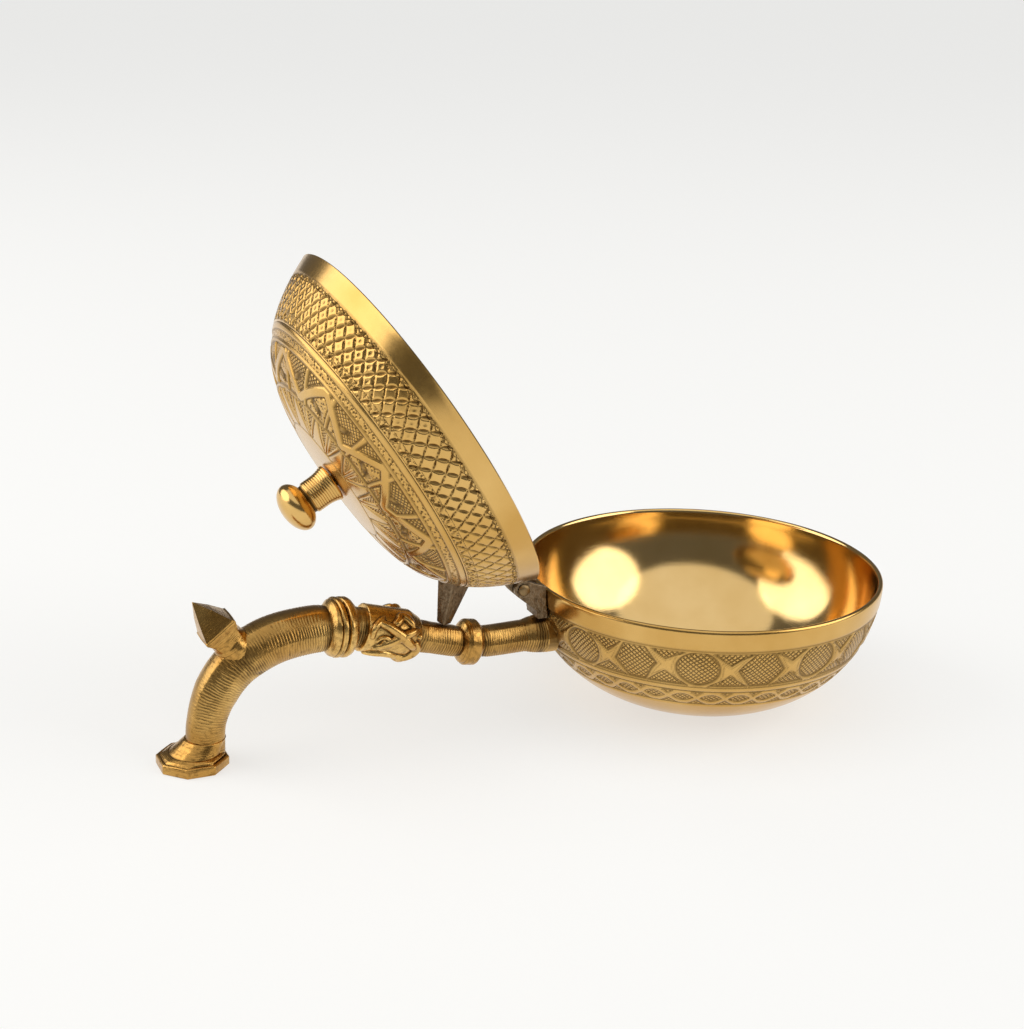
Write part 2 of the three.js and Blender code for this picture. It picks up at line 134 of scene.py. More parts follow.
# %% The wire class
class Wire:
    """One socket of a node tree, on which arithmetic adds Math nodes."""

    def __init__(self, tree, socket=None):
        self.tree = tree
        self.socket = socket

    def node(self, kind, settings=None, inputs=None, output=0):
        """Makes a node, sets it up, joins its inputs and gives one of its outputs."""
        made = self.tree.nodes.new(kind)
        for name, value in (settings or {}).items():
            if name == "stops":
                ramp = made.color_ramp
                for spot, (place, color) in enumerate(value):
                    stop = ramp.elements[spot] if spot < 2 else ramp.elements.new(place)
                    stop.position = place
                    stop.color = color
            else:
                setattr(made, name, value)
        for key, value in (inputs or {}).items():
            if isinstance(value, Wire):
                self.tree.links.new(value.socket, made.inputs[key])
            else:
                made.inputs[key].default_value = value
        return Wire(self.tree, made.outputs[output] if len(made.outputs) else None)

    def math(self, operation, *others, clamp=False):
        """A Math node with this wire first."""
        values = dict(enumerate((self, *others)))
        return self.node("ShaderNodeMath", {"operation": operation, "use_clamp": clamp}, values)

    def flipped(self, operation, other):
        """A Math node with this wire second."""
        values = {0: other, 1: self}
        return self.node("ShaderNodeMath", {"operation": operation}, values)

    def __add__(self, other):
        return self.math("ADD", other)

    __radd__ = __add__

    def __sub__(self, other):
        return self.math("SUBTRACT", other)

    def __rsub__(self, other):
        return self.flipped("SUBTRACT", other)

    def __mul__(self, other):
        return self.math("MULTIPLY", other)

    __rmul__ = __mul__

    def __truediv__(self, other):
        return self.math("DIVIDE", other)

    def __rtruediv__(self, other):
        return self.flipped("DIVIDE", other)

    def __abs__(self):
        return self.math("ABSOLUTE")

    def clamped(self):
        """The number, held between 0 and 1."""
        return self.math("ADD", 0.0, clamp=True)

    def at_most(self, other):
        return self.math("MINIMUM", other)

    def at_least(self, other):
        return self.math("MAXIMUM", other)

    def sine(self):
        return self.math("SINE")

    def part(self):
        """What is left of the number after its whole part."""
        return self.math("FRACT")

    def fold(self):
        """How far the number is from the nearest whole one."""
        return abs(self - self.math("ROUND"))


def groove(distance, half_width):
    """A V cut: 1 on its line and 0 from half_width outwards."""
    return (1.0 - distance / half_width).clamped()


def step(value, softness):
    """0 below nought and 1 above softness."""
    return (value / softness).clamped()


def between(value, low, high, softness=0.25):
    """1 between two numbers, and fading to 0 just inside them."""
    return step(value - low, softness) * step(high - value, softness)


# %% [markdown]
# ## Skins
#
# A bowl, a lid or a knob is a profile spun round an axis, and a rod is a ring swept along a curve.
# Both are grids of points, so one function closes them into a mesh. It also writes a UV map whose U
# goes once round and whose V is the distance along the metal, which engraving can follow without a
# seam, and the same two as attributes for Geometry Nodes.

# %% Build a closed skin from rings of points
CLIMB_IN_UV = 100.0  # mm of metal to one unit of V
SHARP_ANGLE = math.radians(70)


def write_values(mesh, label, values):
    """Stores a number at each point of a mesh, in place of any that is there."""
    if label in mesh.attributes:
        mesh.attributes.remove(mesh.attributes[label])
    store = mesh.attributes.new(label, "FLOAT", "POINT")
    store.data.foreach_set("value", np.asarray(values, np.float32))


def skin(name, rings, climbs, loop=False):
    """A mesh from rings of points (n, sides, 3) in mm. climbs is the distance along it, per ring.
    Ends are closed by a flat fan, or joined to each other where loop is true."""
    rings = np.asarray(rings, float)
    count, sides, _ = rings.shape
    points = list(map(tuple, rings.reshape(-1, 3) * MM))
    turn_of = np.tile(np.arange(sides) / sides, count)
    climb_of = np.repeat(np.asarray(climbs, float), sides)
    faces = []
    corner_uv = []
    last = count if loop else count - 1
    for i in range(last):
        here = i * sides
        above = ((i + 1) % count) * sides
        v0 = climbs[i] / CLIMB_IN_UV
        v1 = climbs[(i + 1) % count] / CLIMB_IN_UV
        for j in range(sides):
            k = (j + 1) % sides
            faces.append((here + j, here + k, above + k, above + j))
            u0 = j / sides
            u1 = (j + 1) / sides
            corner_uv += [(u0, v0), (u1, v0), (u1, v1), (u0, v1)]
    if not loop:
        for i, order in ((0, -1), (count - 1, 1)):
            middle = len(points)
            points.append(tuple(rings[i].mean(0) * MM))
            turn_of = np.append(turn_of, 0.0)
            climb_of = np.append(climb_of, climbs[i])
            v = climbs[i] / CLIMB_IN_UV
            for j in range(sides):
                k = (j + 1) % sides
                pair = (i * sides + j, i * sides + k)[::order]
                faces.append((middle, *pair))
                corner_uv += [(j / sides, v)] * 3
    mesh = bpy.data.meshes.new(name)
    mesh.from_pydata(points, [], faces)
    uv = mesh.uv_layers.new(name="skin")
    uv.data.foreach_set("uv", np.asarray(corner_uv, np.float32).ravel())
    write_values(mesh, "turn", turn_of)
    write_values(mesh, "climb", climb_of)
    mesh.shade_smooth()
    mesh.set_sharp_from_angle(angle=SHARP_ANGLE)
    return placed(name, mesh)


def spun_rings(profile, sides):
    """Rings about Z from (radius, height) pairs, running so that faces point outwards."""
    turn = np.arange(sides) * (2 * math.pi / sides) + math.pi
    rings = [
        np.column_stack([r * np.cos(turn), r * np.sin(turn), np.full(sides, z)]) for r, z in profile
    ]
    return np.array(rings)


def along(profile):
    """Distance along a profile, from its first point."""
    steps = np.linalg.norm(np.diff(np.asarray(profile, float), axis=0), axis=1)
    return np.concatenate([[0.0], np.cumsum(steps)])


def spaced(profile, spacing, start=0.0, stop=None, guard=0.0):
    """Points a given distance apart along a profile, between two distances along it.
    guard adds a close row inside each end, so that polish runs on across a joint in the skin."""
    profile = np.asarray(profile, float)
    at = along(profile)
    stop = at[-1] if stop is None else stop
    where = np.linspace(start, stop, max(2, int(round((stop - start) / spacing)) + 1))
    if guard:
        where = np.sort(np.append(where, [start + guard, stop - guard]))
    return np.column_stack([np.interp(where, at, profile[:, k]) for k in (0, 1)]), where


def opened(points):
    """Points modelled on the closed lid, about the bowl's own axis, turned back to the open lid."""
    turn = Matrix.Rotation(-OPEN_ANGLE, 3, "Y")
    moved = np.asarray(points, float) - np.array(HINGE)
    return moved @ np.array(turn).T + np.array(HINGE)


# %% [markdown]
# ## Brass
#
# One alloy, seven finishes. What changes is how rough the metal is, how much brown patina has
# stayed in the hollows, and the small marks of the tool: punch marks, file ribs, lathe rings or
# sand. Each piece carries an attribute for patina, which is 0 on open metal and 1 in a deep cut,
# and which on the handle's rod also holds a painted shade over its top. Each also carries one
# called ground, which is 1 where the metal was punched or hatched.

# %% The brass finishes
PALE = (0.74, 0.475, 0.165, 1.0)
GOLD = (0.60, 0.35, 0.095, 1.0)
BROWN = (0.055, 0.028, 0.008, 1.0)
# how far full patina, and the painted shade on the handle rod's top, turn the metal brown
PATINA_AND_SHADE_SHARE = 0.93
CLOUD_SCALE = 55.0  # broad changes of tone, as repeats to the metre
SPECK_SCALE = 900.0


def stored(start, name):
    """A number that the piece carries at each point."""
    return start.node("ShaderNodeAttribute", {"attribute_name": name}, output="Fac")


def own_place(start):
    """Where a point is on its own piece."""
    return start.node("ShaderNodeTexCoord", output="Object")


def cloudy(start, where, scale, detail=2.0):
    """Soft noise, so many repeats to the metre."""
    return start.node("ShaderNodeTexNoise", {}, {"Vector": where, "Scale": scale, "Detail": detail})


def blend(start, share, first, second):
    """A colour between two others."""
    colors = {"Factor": share, "A": first, "B": second}
    return start.node("ShaderNodeMix", {"data_type": "RGBA"}, colors, output=2)


def finish(name, light, dark, smooth, rough, marks=None):
    """A brass material. marks is a function that adds the tool marks: it takes the tree's start and
    gives their height, from 0 to 1, how much patina they hold, and their depth in mm."""
    material = bpy.data.materials.new(name)
    material.use_nodes = True
    tree = material.node_tree
    shader = tree.nodes["Principled BSDF"]
    shader.inputs["Metallic"].default_value = 1.0
    start = Wire(tree)
    place = own_place(start)
    cloud = cloudy(start, place, CLOUD_SCALE, 4.0)
    speck = cloudy(start, place, SPECK_SCALE, 3.0)
    metal = blend(start, ((cloud - 0.35) * 2.2).clamped(), dark, light)
    stain = stored(start, "patina_and_shade")
    if marks:
        height, held, depth = marks(start)
        stain = stain.at_least(held)
        bump = start.node(
            "ShaderNodeBump", {}, {"Height": height, "Distance": depth * MM, "Strength": 1.0}
        # stain: the stored patina, and on the handle's rod also a painted shade over its top
        )
        tree.links.new(bump.socket, shader.inputs["Normal"])
    stain = (stain * PATINA_AND_SHADE_SHARE).clamped()
    color = blend(start, stain, metal, BROWN)
    tree.links.new(color.socket, shader.inputs["Base Color"])
    roughness = smooth + (rough - smooth) * (speck * 0.55 + cloud * 0.45) + stain * 0.25
    tree.links.new(roughness.clamped().socket, shader.inputs["Roughness"])
    return material


def skin_uv(start):
    """Once round the piece in U, and the distance along the metal in V."""
    return start.node("ShaderNodeUVMap", {"uv_map": "skin"})


def round_and_up(start, cuts_round, cuts_to_mm):
    """How many cuts round the skin a point is, and how many up it."""
    uv = skin_uv(start)
    turn = start.node("ShaderNodeSeparateXYZ", inputs={"Vector": uv}, output="X")
    climb = start.node("ShaderNodeSeparateXYZ", inputs={"Vector": uv}, output="Y")
    return turn * cuts_round, climb * (CLIMB_IN_UV * cuts_to_mm)


def crossed(round_it, up_it, half_width, other_half_width):
    """Two sets of slanting cuts that cross."""
    one = groove((round_it + up_it).fold(), half_width)
    return one.at_least(groove((round_it - up_it).fold(), other_half_width))


def punched(start):
    """Marks on the lid's sunk ground: punch pits where it is full, hatching where it is half."""
    ground = stored(start, "ground")
    pits = start.node(
        "ShaderNodeTexVoronoi",
        {},
        {"Vector": own_place(start), "Scale": 1150.0, "Randomness": 0.8},
    )
    pit = ((1.0 - pits * 2.1) * 1.5).clamped()
    round_it, up_it = round_and_up(start, 170.0, 0.85)
    lines = crossed(round_it, up_it, 0.3, 0.22)
    full = step(ground - 0.7, 0.12)
    half = step(ground - 0.3, 0.12) * (1.0 - full)
    mark = (pit * full).at_least(lines * half)
    return 1.0 - mark, mark * 0.9, 0.24


def hatched(start):
    """Crossed hatching that follows the bowl's skin."""
    drift = cloudy(start, own_place(start), 160.0)
    round_it, up_it = round_and_up(start, 210.0, 0.72)
    lines = crossed(round_it + drift * 0.9, up_it + drift * 0.6, 0.26, 0.26)
    lines = lines * stored(start, "ground")
    return 1.0 - lines, lines * 0.85, 0.2


def stretched(start, round_it, up_it):
    """The skin's own map, stretched so that a cloud on it becomes lines round the piece."""
    scale = (round_it, up_it, 1.0)
    return start.node("ShaderNodeMapping", {}, {"Vector": skin_uv(start), "Scale": scale})


def sanded(start):
    """The grain that a sand mould leaves."""
    where = own_place(start)
    grain = start.node("ShaderNodeTexVoronoi", {}, {"Vector": where, "Scale": 1900.0})
    lumps = cloudy(start, where, 800.0, 4.0)
    return grain * 0.5 + lumps, ((0.56 - lumps) * 2.6).clamped() * 0.9, 0.2


def filed(start):
    """The grain of the casting under the marks of a coarse file, which run across the rod."""
    grain = cloudy(start, own_place(start), 850.0, 3.0)
    lines = cloudy(start, stretched(start, 9.0, 230.0), 1.0)
    held = ((0.53 - grain) * 3.2).clamped() * 0.6 + ((0.47 - lines) * 5.0).clamped() * 0.55
    return grain * 0.45 + lines * 0.5, held.clamped(), 0.12


def scratched(start):
    """Fine polishing marks that run round the piece."""
    return cloudy(start, stretched(start, 6.0, 420.0), 3.0, 3.0), 0.0, 0.006


polished_brass = finish(
    "polished_brass", (0.84, 0.59, 0.27, 1.0), (0.74, 0.49, 0.19, 1.0), 0.07, 0.16, marks=scratched
)
engraved_brass = finish("engraved_brass", PALE, GOLD, 0.12, 0.3, marks=punched)
hatched_brass = finish("hatched_brass", PALE, GOLD, 0.13, 0.3, marks=hatched)
cast_brass = finish(
    "cast_brass", (0.86, 0.56, 0.19, 1.0), (0.52, 0.28, 0.07, 1.0), 0.12, 0.34, marks=filed
)
turned_brass = finish(
    "turned_brass", (0.84, 0.55, 0.20, 1.0), (0.62, 0.37, 0.11, 1.0), 0.1, 0.26, marks=scratched
)
rough_casting = finish(
    "rough_casting", (0.40, 0.30, 0.19, 1.0), (0.17, 0.115, 0.065, 1.0), 0.3, 0.55, marks=sanded
)
pin_brass = finish("pin_brass", (0.34, 0.23, 0.11, 1.0), (0.2, 0.13, 0.06, 1.0), 0.3, 0.5)
print("finishes:", len(bpy.data.materials))

# %% [markdown]
# ## Engraving with Geometry Nodes
#
# The engraver walks round the piece with the same few strokes, so a node tree does it here: a rule
# turns each point's place on the skin into a depth, and Set Position pushes the metal in along its
# normal. The tree also stores how dark each cut has become, with a painted shade over the top of
# the handle's rod, and where the ground is punched.

# %% Cut a rule into a skin
def fresh_tree(name, sizes):
    """A Geometry Nodes tree with a named number input for each size, and two material inputs."""
    tree = bpy.data.node_groups.new(name, "GeometryNodeTree")
    tree.interface.new_socket("Geometry", in_out="OUTPUT", socket_type="NodeSocketGeometry")
    tree.interface.new_socket("Geometry", in_out="INPUT", socket_type="NodeSocketGeometry")
    for label in sizes:
        tree.interface.new_socket(label, in_out="INPUT", socket_type="NodeSocketFloat")
    for label in ("Metal", "Polished metal"):
        tree.interface.new_socket(label, in_out="INPUT", socket_type="NodeSocketMaterial")
    return tree


def settle(piece):
    """Turns a piece's modifiers into plain mesh."""
    graph = bpy.context.evaluated_depsgraph_get()
    mesh = bpy.data.meshes.new_from_object(
        piece.evaluated_get(graph), preserve_all_data_layers=True, depsgraph=graph
    )
    piece.modifiers.clear()
    piece.data = mesh
    return piece


INSIDE_CLIMB = 200.0  # the inner skin's distances start here, clear of every band of engraving


def engrave(piece, rule, sizes, metal, inner_metal):
    """Cuts a rule into a piece. The rule gives depth in mm, and patina and ground from 0 to 1; on
    the handle's rod the patina also holds a painted shade over its top.
    """
    tree = fresh_tree(piece.name + "_engraving", sizes)
    start = Wire(tree)
    given = start.node("NodeGroupInput")
    sockets = given.socket.node.outputs
    size = {label: Wire(tree, sockets[label]) for label in sizes}
    read = {
        label: start.node(
            "GeometryNodeInputNamedAttribute", {"data_type": "FLOAT"}, {"Name": label}, "Attribute"
        )
        for label in ("turn", "climb")
    }
    depth, patina_and_shade, ground = rule(start, read["turn"], read["climb"], size)
    work = Wire(tree, sockets["Geometry"])
    for label, value in (("patina_and_shade", patina_and_shade), ("ground", ground)):
        work = start.node(
            "GeometryNodeStoreNamedAttribute",
            {"data_type": "FLOAT", "domain": "POINT"},
            {"Geometry": work, "Name": label, "Value": value.clamped()},
        )
    normal = start.node("GeometryNodeInputNormal")
    push = start.node(
        "ShaderNodeVectorMath", {"operation": "SCALE"}, {0: normal, "Scale": depth * -MM}
    )
    work = start.node("GeometryNodeSetPosition", {}, {"Geometry": work, "Offset": push})
    work = start.node("GeometryNodeRealizeInstances", {}, {"Geometry": work})
    metal_in = Wire(tree, sockets["Metal"])
    polished_in = Wire(tree, sockets["Polished metal"])
    work = start.node("GeometryNodeSetMaterial", {}, {"Geometry": work, "Material": metal_in})
    inner = start.node(
        "FunctionNodeCompare",
        {"data_type": "FLOAT", "operation": "GREATER_THAN"},
        {0: read["climb"], 1: INSIDE_CLIMB / 2},
    )
    work = start.node(
        "GeometryNodeSetMaterial",
        {},
        {"Geometry": work, "Selection": inner, "Material": polished_in},
    )
    start.node("NodeGroupOutput", {}, {"Geometry": work})
    modifier = piece.modifiers.new("engraving", "NODES")
    modifier.node_group = tree
    values = {**sizes, "Metal": metal, "Polished metal": inner_metal}
    for item in tree.interface.items_tree:
        if item.in_out == "INPUT" and item.name in values:
            modifier[item.identifier] = values[item.name]
    settle(piece)
    print(piece.name, "engraved,", len(piece.data.polygons), "faces")
    return piece


def wander(start, scale, amount):
    """A slow drift, because every cut was struck by hand."""
    place = start.node("GeometryNodeInputPosition")
    return (cloudy(start, place, scale, 1.0) - 0.5) * (2.0 * amount)


def zigzag(value):
    """A triangle wave from -1 to 1, one to each whole number."""
    return value.fold() * 4.0 - 1.0


# %% [markdown]
# ## The bowl
#
# Spun from sheet about 1.5 mm thick, then polished inside until it mirrors the room. Outside, a
# plain band runs under the lip. Below it hatched panels sit between plain straps, then two lines,
# then a band of crossing waves.

# %% The bowl's profile
LIP_R = SHEET / 2


def bowl_side(inset, steps=160):
    """The quarter ellipse from the flat base to the rim, as the measured bowl has it."""
    turn = np.linspace(0, math.pi / 2, steps)
    r = BOWL_FLAT_R + (BOWL_R - inset - BOWL_FLAT_R) * np.sin(turn)
    return np.column_stack([r, BOWL_H - (BOWL_H - inset) * np.cos(turn)])


def lip(middle, start_angle, steps=7):
    """Half a circle over the edge of the sheet."""
    turn = start_angle + np.linspace(0, math.pi, steps)
    return np.column_stack([middle[0] + LIP_R * np.cos(turn), middle[1] + LIP_R * np.sin(turn)])


BOWL_PLAIN = 4.8  # distances down the outside from the lip, in mm
BOWL_PANELS_END = 17.2
BOWL_LINE = 18.0
BOWL_WAVES_END = 25.4
SKIN_SIDES = 720
ENGRAVED_ROW = 0.36  # how far apart the rows of points are, in mm


def bowl_skin():
    """The whole shell, with its closest rows where it is engraved."""
    outside = bowl_side(0)[::-1]
    outside = outside[outside[:, 1] < BOWL_H - LIP_R]
    fine, fine_at = spaced(outside, ENGRAVED_ROW, BOWL_PLAIN - 0.6, BOWL_WAVES_END + 0.6)
    plain, plain_at = spaced(outside, 1.0, 0.0, BOWL_PLAIN - 1.0)
    low, low_at = spaced(outside, 1.8, BOWL_WAVES_END + 1.6)
    top, top_at = lip((BOWL_R - LIP_R, BOWL_H - LIP_R), 0.0), np.zeros(7)
    inner = bowl_side(SHEET)[::-1]
    inner = inner[inner[:, 1] < BOWL_H - LIP_R]
    inside, inside_at = spaced(inner, 1.7)
    base = [[3.0, 0.0], [8.0, 0.0], [BOWL_FLAT_R - 1, 0.0]]
    floor_in = [[BOWL_FLAT_R - 3, SHEET], [8.0, SHEET], [3.0, SHEET], [0.6, SHEET]]
    profile = np.vstack([base, low[::-1], fine[::-1], plain[::-1], top[1:-1], inside, floor_in])
    climbs = np.concatenate([
        low_at[-1] + np.array([11.0, 6.0, 1.0]),
        low_at[::-1],
        fine_at[::-1],
        plain_at[::-1],
        top_at[1:3],
        top_at[3:-1] + INSIDE_CLIMB,
        inside_at + INSIDE_CLIMB,
        inside_at[-1] + INSIDE_CLIMB + np.array([3.0, 6.0, 11.0, 13.4]),
    ])
    return skin("bowl_shell", spun_rings(profile, SKIN_SIDES), climbs)


# %% The bowl's engraving rule
def bowl_rule(start, turn, climb, size):
    """Six-sided and round panels in turn, waves, lines, and a stain at the handle's braze."""
    drift = wander(start, 55.0, 0.1)
    high = (climb - (BOWL_PLAIN + BOWL_PANELS_END) / 2) / ((BOWL_PANELS_END - BOWL_PLAIN) / 2)
    across = (turn * size["Panels round"] + drift).fold() * 2.0
    uneven = high + drift * 3.0 + wander(start, 26.0, 0.16)
    hexagon = (across * 1.2 + abs(uneven) * 0.6).at_least(abs(high) * 0.98)
    oval = (across * across * 1.9 + uneven * uneven * 0.95).math("SQRT")
    angular = step(0.5 - (turn * (size["Panels round"] / 2.0) + 0.25).part(), 0.01)
    panel = 0.88 - (hexagon * angular + oval * (1.0 - angular))
    gore = abs(uneven) * 1.2 + across * 1.2 - 1.56 - drift * 2.0
    border = 0.9 - abs(high)
    field = panel.at_least(gore.at_most(border * 1.2))
    ground = step(field, 0.06)
    edge = groove(abs(field), 0.1)
    in_panels = between(climb, BOWL_PLAIN + 0.4, BOWL_PANELS_END - 0.2)
    wave = ((turn * size["Waves round"] * (2 * math.pi)) + drift).sine()
    wave_high = (climb - (BOWL_LINE + BOWL_WAVES_END) / 2 - 0.6) / 2.6
    ribbon = abs(wave - wave_high).at_most(abs(wave + wave_high))
    in_waves = between(climb, BOWL_LINE + 1.6, BOWL_WAVES_END)
    wave_ground = step(ribbon - 0.45, 0.1) * in_waves
    wave_edge = groove(abs(ribbon - 0.4), 0.13) * in_waves
    lines = groove(abs(climb - BOWL_PLAIN), 0.3)
    for at in (BOWL_PANELS_END + 0.3, BOWL_LINE + 1.2, BOWL_WAVES_END + 0.2):
        lines = lines.at_least(groove(abs(climb - at), 0.28))
    outline = groove(abs(field + 0.17), 0.05) * in_panels * 0.5
    cut = (edge * in_panels).at_least(outline).at_least(wave_edge).at_least(lines)
    brazed = groove(turn.fold(), 0.05) * step(climb - 6.0, 5.0) * step(30.0 - climb, 8.0)
    stain = (brazed * (wander(start, 240.0, 1.0) + 0.75)).clamped()
    sunk = (ground * in_panels).at_least(wave_ground)
    depth = sunk * size["Ground depth"] + cut * size["Line depth"]
    return depth, (cut * 0.95).at_least(stain * 0.9), sunk


bowl = engrave(
    bowl_skin(),
    bowl_rule,
    {"Panels round": 18.0, "Waves round": 18.0, "Ground depth": 0.24, "Line depth": 0.42},
    hatched_brass,
    polished_brass,
)
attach(bowl, "lamp")
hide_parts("bowl")

# %% [markdown]
# ## The lid
#
# A dome of the same sheet. From the rim inwards it has a plain polished band, a lattice of diamonds
# cut with a round graver, a raised plain ring, a narrow punched border, a broad band of angular
# strapwork, and leaves round the knob. The rim and lattice are one piece of skin here and the crown
# another, so that the finest cuts get the closest points.

# %% The lid's profile, closed, about the bowl's axis
LID_BASE = BOWL_H + SEAT_GAP
LID_SHOULDER_IN = 10.3
LID_SHOULDER_DROP = 1.0
LID_CROWN_PULL = 25.0
SCREW_HOLE_R = 1.8


def dome(inset, steps=400):
    """The dome from rim to crown, pulled by the same points as the measured lid."""
    pulls = np.array([
        (BOWL_R - inset, 0.0),
        (BOWL_R - LID_SHOULDER_IN - inset, LID_H - LID_SHOULDER_DROP - inset),
        (LID_CROWN_PULL, LID_H - inset),
        (0.0, LID_H - inset),
    ])
    s = np.linspace(0, 1, steps)[:, None]
    return (
        pulls[0] * (1 - s) ** 3
        + 3 * pulls[1] * s * (1 - s) ** 2
        + 3 * pulls[2] * s**2 * (1 - s)
        + pulls[3] * s**3
    )


LATTICE_START = 5.8  # distances up the outside from the rim, in mm
LATTICE_END = 18.1
RING_END = 20.4
BORDER_END = 22.6
STRAPS_START = 23.4
STRAPS_END = 34.0
LEAVES_END = 45.0

SEAM_GUARD = 0.1
LATTICE_ROW = 0.3  # rows of points, in mm
CROWN_ROW = 0.34
LATTICE_SIDES = 1080

lid_outside = dome(0)
lid_inside = dome(SHEET)
lid_length = along(lid_outside)[-1]
print(f"dome is {lid_length:.1f} mm from rim to crown")


def lid_skin(name, parts, sides):
    """A closed ring of sheet from (points, climbs) stretches, turned back to the open lid."""
    profile = np.vstack([points for points, _ in parts])
    climbs = np.concatenate([at for _, at in parts])
    rings = spun_rings(profile + [0.0, LID_BASE], sides)
    return skin(name, opened(rings), climbs, loop=True)


def lid_band_skin():
    """The rim and the lattice, and the inside behind them."""
    plain = spaced(lid_outside, 1.0, LIP_R, LATTICE_START - 0.8)
    lattice = spaced(lid_outside, LATTICE_ROW, LATTICE_START - 0.5, LATTICE_END + 0.3)
    inside, inside_at = spaced(lid_inside, 1.3, LIP_R, LATTICE_END, SEAM_GUARD)
    edge = lip((BOWL_R - LIP_R, LIP_R), math.pi)[1:-1]
    edge_at = np.zeros(len(edge))
    return lid_skin(
        "lid_band",
        [(edge, edge_at), plain, lattice, (inside[::-1], inside_at[::-1] + INSIDE_CLIMB)],
        LATTICE_SIDES,
    )


def lid_crown_skin():
    """From the lattice to the screw's hole, outside and in."""
    fine = spaced(lid_outside, CROWN_ROW, LATTICE_END + 0.3, LEAVES_END + 0.6)
    plain = spaced(lid_outside, 1.4, LEAVES_END + 1.6, lid_length - SCREW_HOLE_R)
    hole = along(lid_inside)[-1] - SCREW_HOLE_R
    inside, inside_at = spaced(lid_inside, 1.4, LATTICE_END, hole, SEAM_GUARD)
    inner = (inside[::-1], inside_at[::-1] + INSIDE_CLIMB)
    return lid_skin("lid_crown", [fine, plain, inner], SKIN_SIDES)


# %% The diamond lattice
def lattice_rule(start, turn, climb, size):
    """Deep cuts that lean one way, light ones that lean the other, and a dot in some diamonds."""
    drift = wander(start, 90.0, 0.05)
    row = (LATTICE_END - LATTICE_START) / size["Rows"]
    round_it = turn * size["Diamonds round"] + drift
    up_it = (climb - LATTICE_START) / row
    one = round_it + up_it
    other = round_it - up_it
    here = between(climb, LATTICE_START + 0.1, LATTICE_END - 0.1, 0.3)
    uneven = wander(start, 45.0, 0.5)
    deep_half = (one.part() * math.pi).sine() * (0.19 + uneven * 0.08) + 0.01
    deep = groove(other.fold(), deep_half)
    light_half = (other.part() * math.pi).sine() * 0.1 + 0.045
    light = groove(one.fold(), light_half)
    aside = (one - 0.5).fold()
    above = (other - 0.5).fold()
    middle = aside * aside + above * above
    dotted = step(wander(start, 38.0, 0.5) + 0.02, 0.1)
    dot = groove(middle, 0.03) * dotted
    line = groove(abs(climb - LATTICE_START), 0.32)
    cut = (deep * size["Deep cut"]).at_least(light * size["Light cut"]).at_least(dot * 0.2)
    depth = cut * here + line * 0.22
    edges = between(climb, LATTICE_END - 2.6, LATTICE_END) * 0.9
    edges = edges.at_least(between(climb, LATTICE_START + 0.2, LATTICE_START + 1.4) * 0.7)
    patina_and_shade = deep.at_least(light * 0.65).at_least(dot * 0.6) * here
    return depth, patina_and_shade.at_least(line * 0.6), edges.at_least(light * here * 0.8)


# %% The crown's ring, border, straps and leaves
def crown_rule(start, turn, climb, size):
    """Straps that zigzag and cross, leaves above them, and lines between the bands."""
    drift = wander(start, 60.0, 0.05)
    half = (STRAPS_END - STRAPS_START) / 2
    high = (climb - (STRAPS_START + half)) / half
    round_it = turn * size["Straps round"] + drift
    slope = zigzag(round_it)
    side = high - slope * 0.86 + drift
    strap = abs(side) * (half * 0.72) - 1.25
    second = abs(high + slope * 0.42 - 0.16) * (half * 0.85) - 0.7
    bar = (round_it * 2.0 + 0.27).fold() * 8.0 - 0.55
    field = strap.at_most(second.at_least(0.5 - bar * 0.2)).at_most(bar)
    field = field.at_most((0.93 - abs(high)) * half)
    in_straps = between(climb, STRAPS_START, STRAPS_END)
    ground = step(field, 0.16) * in_straps * (step(side, 0.1) * 0.46 + 0.54)
    edge = groove(abs(field - 0.02), 0.36) * in_straps
    leaf_high = ((climb - STRAPS_END - 0.8) / (LEAVES_END - STRAPS_END - 1.0)).clamped()
    leaf_across = (turn * size["Leaves round"] + drift).fold() * 2.0
    leaf = (1.0 - leaf_high).math("POWER", 0.55) * 0.86 - leaf_across
    in_leaves = between(climb, STRAPS_END + 0.7, LEAVES_END)
    leaf_edge = groove(abs(leaf), 0.09) * in_leaves
    vein = groove(leaf_across, 0.07) * step(leaf, 0.1) * in_leaves
    leaf_ground = step(leaf - 0.16, 0.1) * step(leaf_across - 0.16, 0.1) * in_leaves * 0.7
    border = between(climb, RING_END + 0.1, BORDER_END - 0.1)
    lines = groove(abs(climb - LATTICE_END - 0.4), 0.34)
    for at in (RING_END, BORDER_END, STRAPS_START, STRAPS_END + 0.1, STRAPS_END + 0.9, LEAVES_END):
        lines = lines.at_least(groove(abs(climb - at), 0.27))
    cut = edge.at_least(leaf_edge).at_least(vein * 0.7).at_least(lines * 0.9)
    sunk = ground.at_least(leaf_ground).at_least(border)
    depth = step(sunk, 0.5) * size["Ground depth"] + cut * size["Line depth"]
    return depth, cut * 0.95, sunk


lid_band = engrave(
    lid_band_skin(),
    lattice_rule,
    {"Diamonds round": 70.0, "Rows": 2.5, "Deep cut": 0.62, "Light cut": 0.36},
    engraved_brass,
    polished_brass,
)
lid_crown = engrave(
    lid_crown_skin(),
    crown_rule,
    {"Straps round": 10.0, "Leaves round": 16.0, "Ground depth": 0.24, "Line depth": 0.42},
    engraved_brass,
    polished_brass,
)
for piece in (lid_band, lid_crown):
    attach(piece, "lid")
    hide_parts("lid")

# %% [markdown]
# ## The knob and its screw
#
# Turned from bar: a flange, a cove with the tool's fine rings left in it, a groove and a flattened
# ball. It is held from inside the lid by a domed screw with one slot.

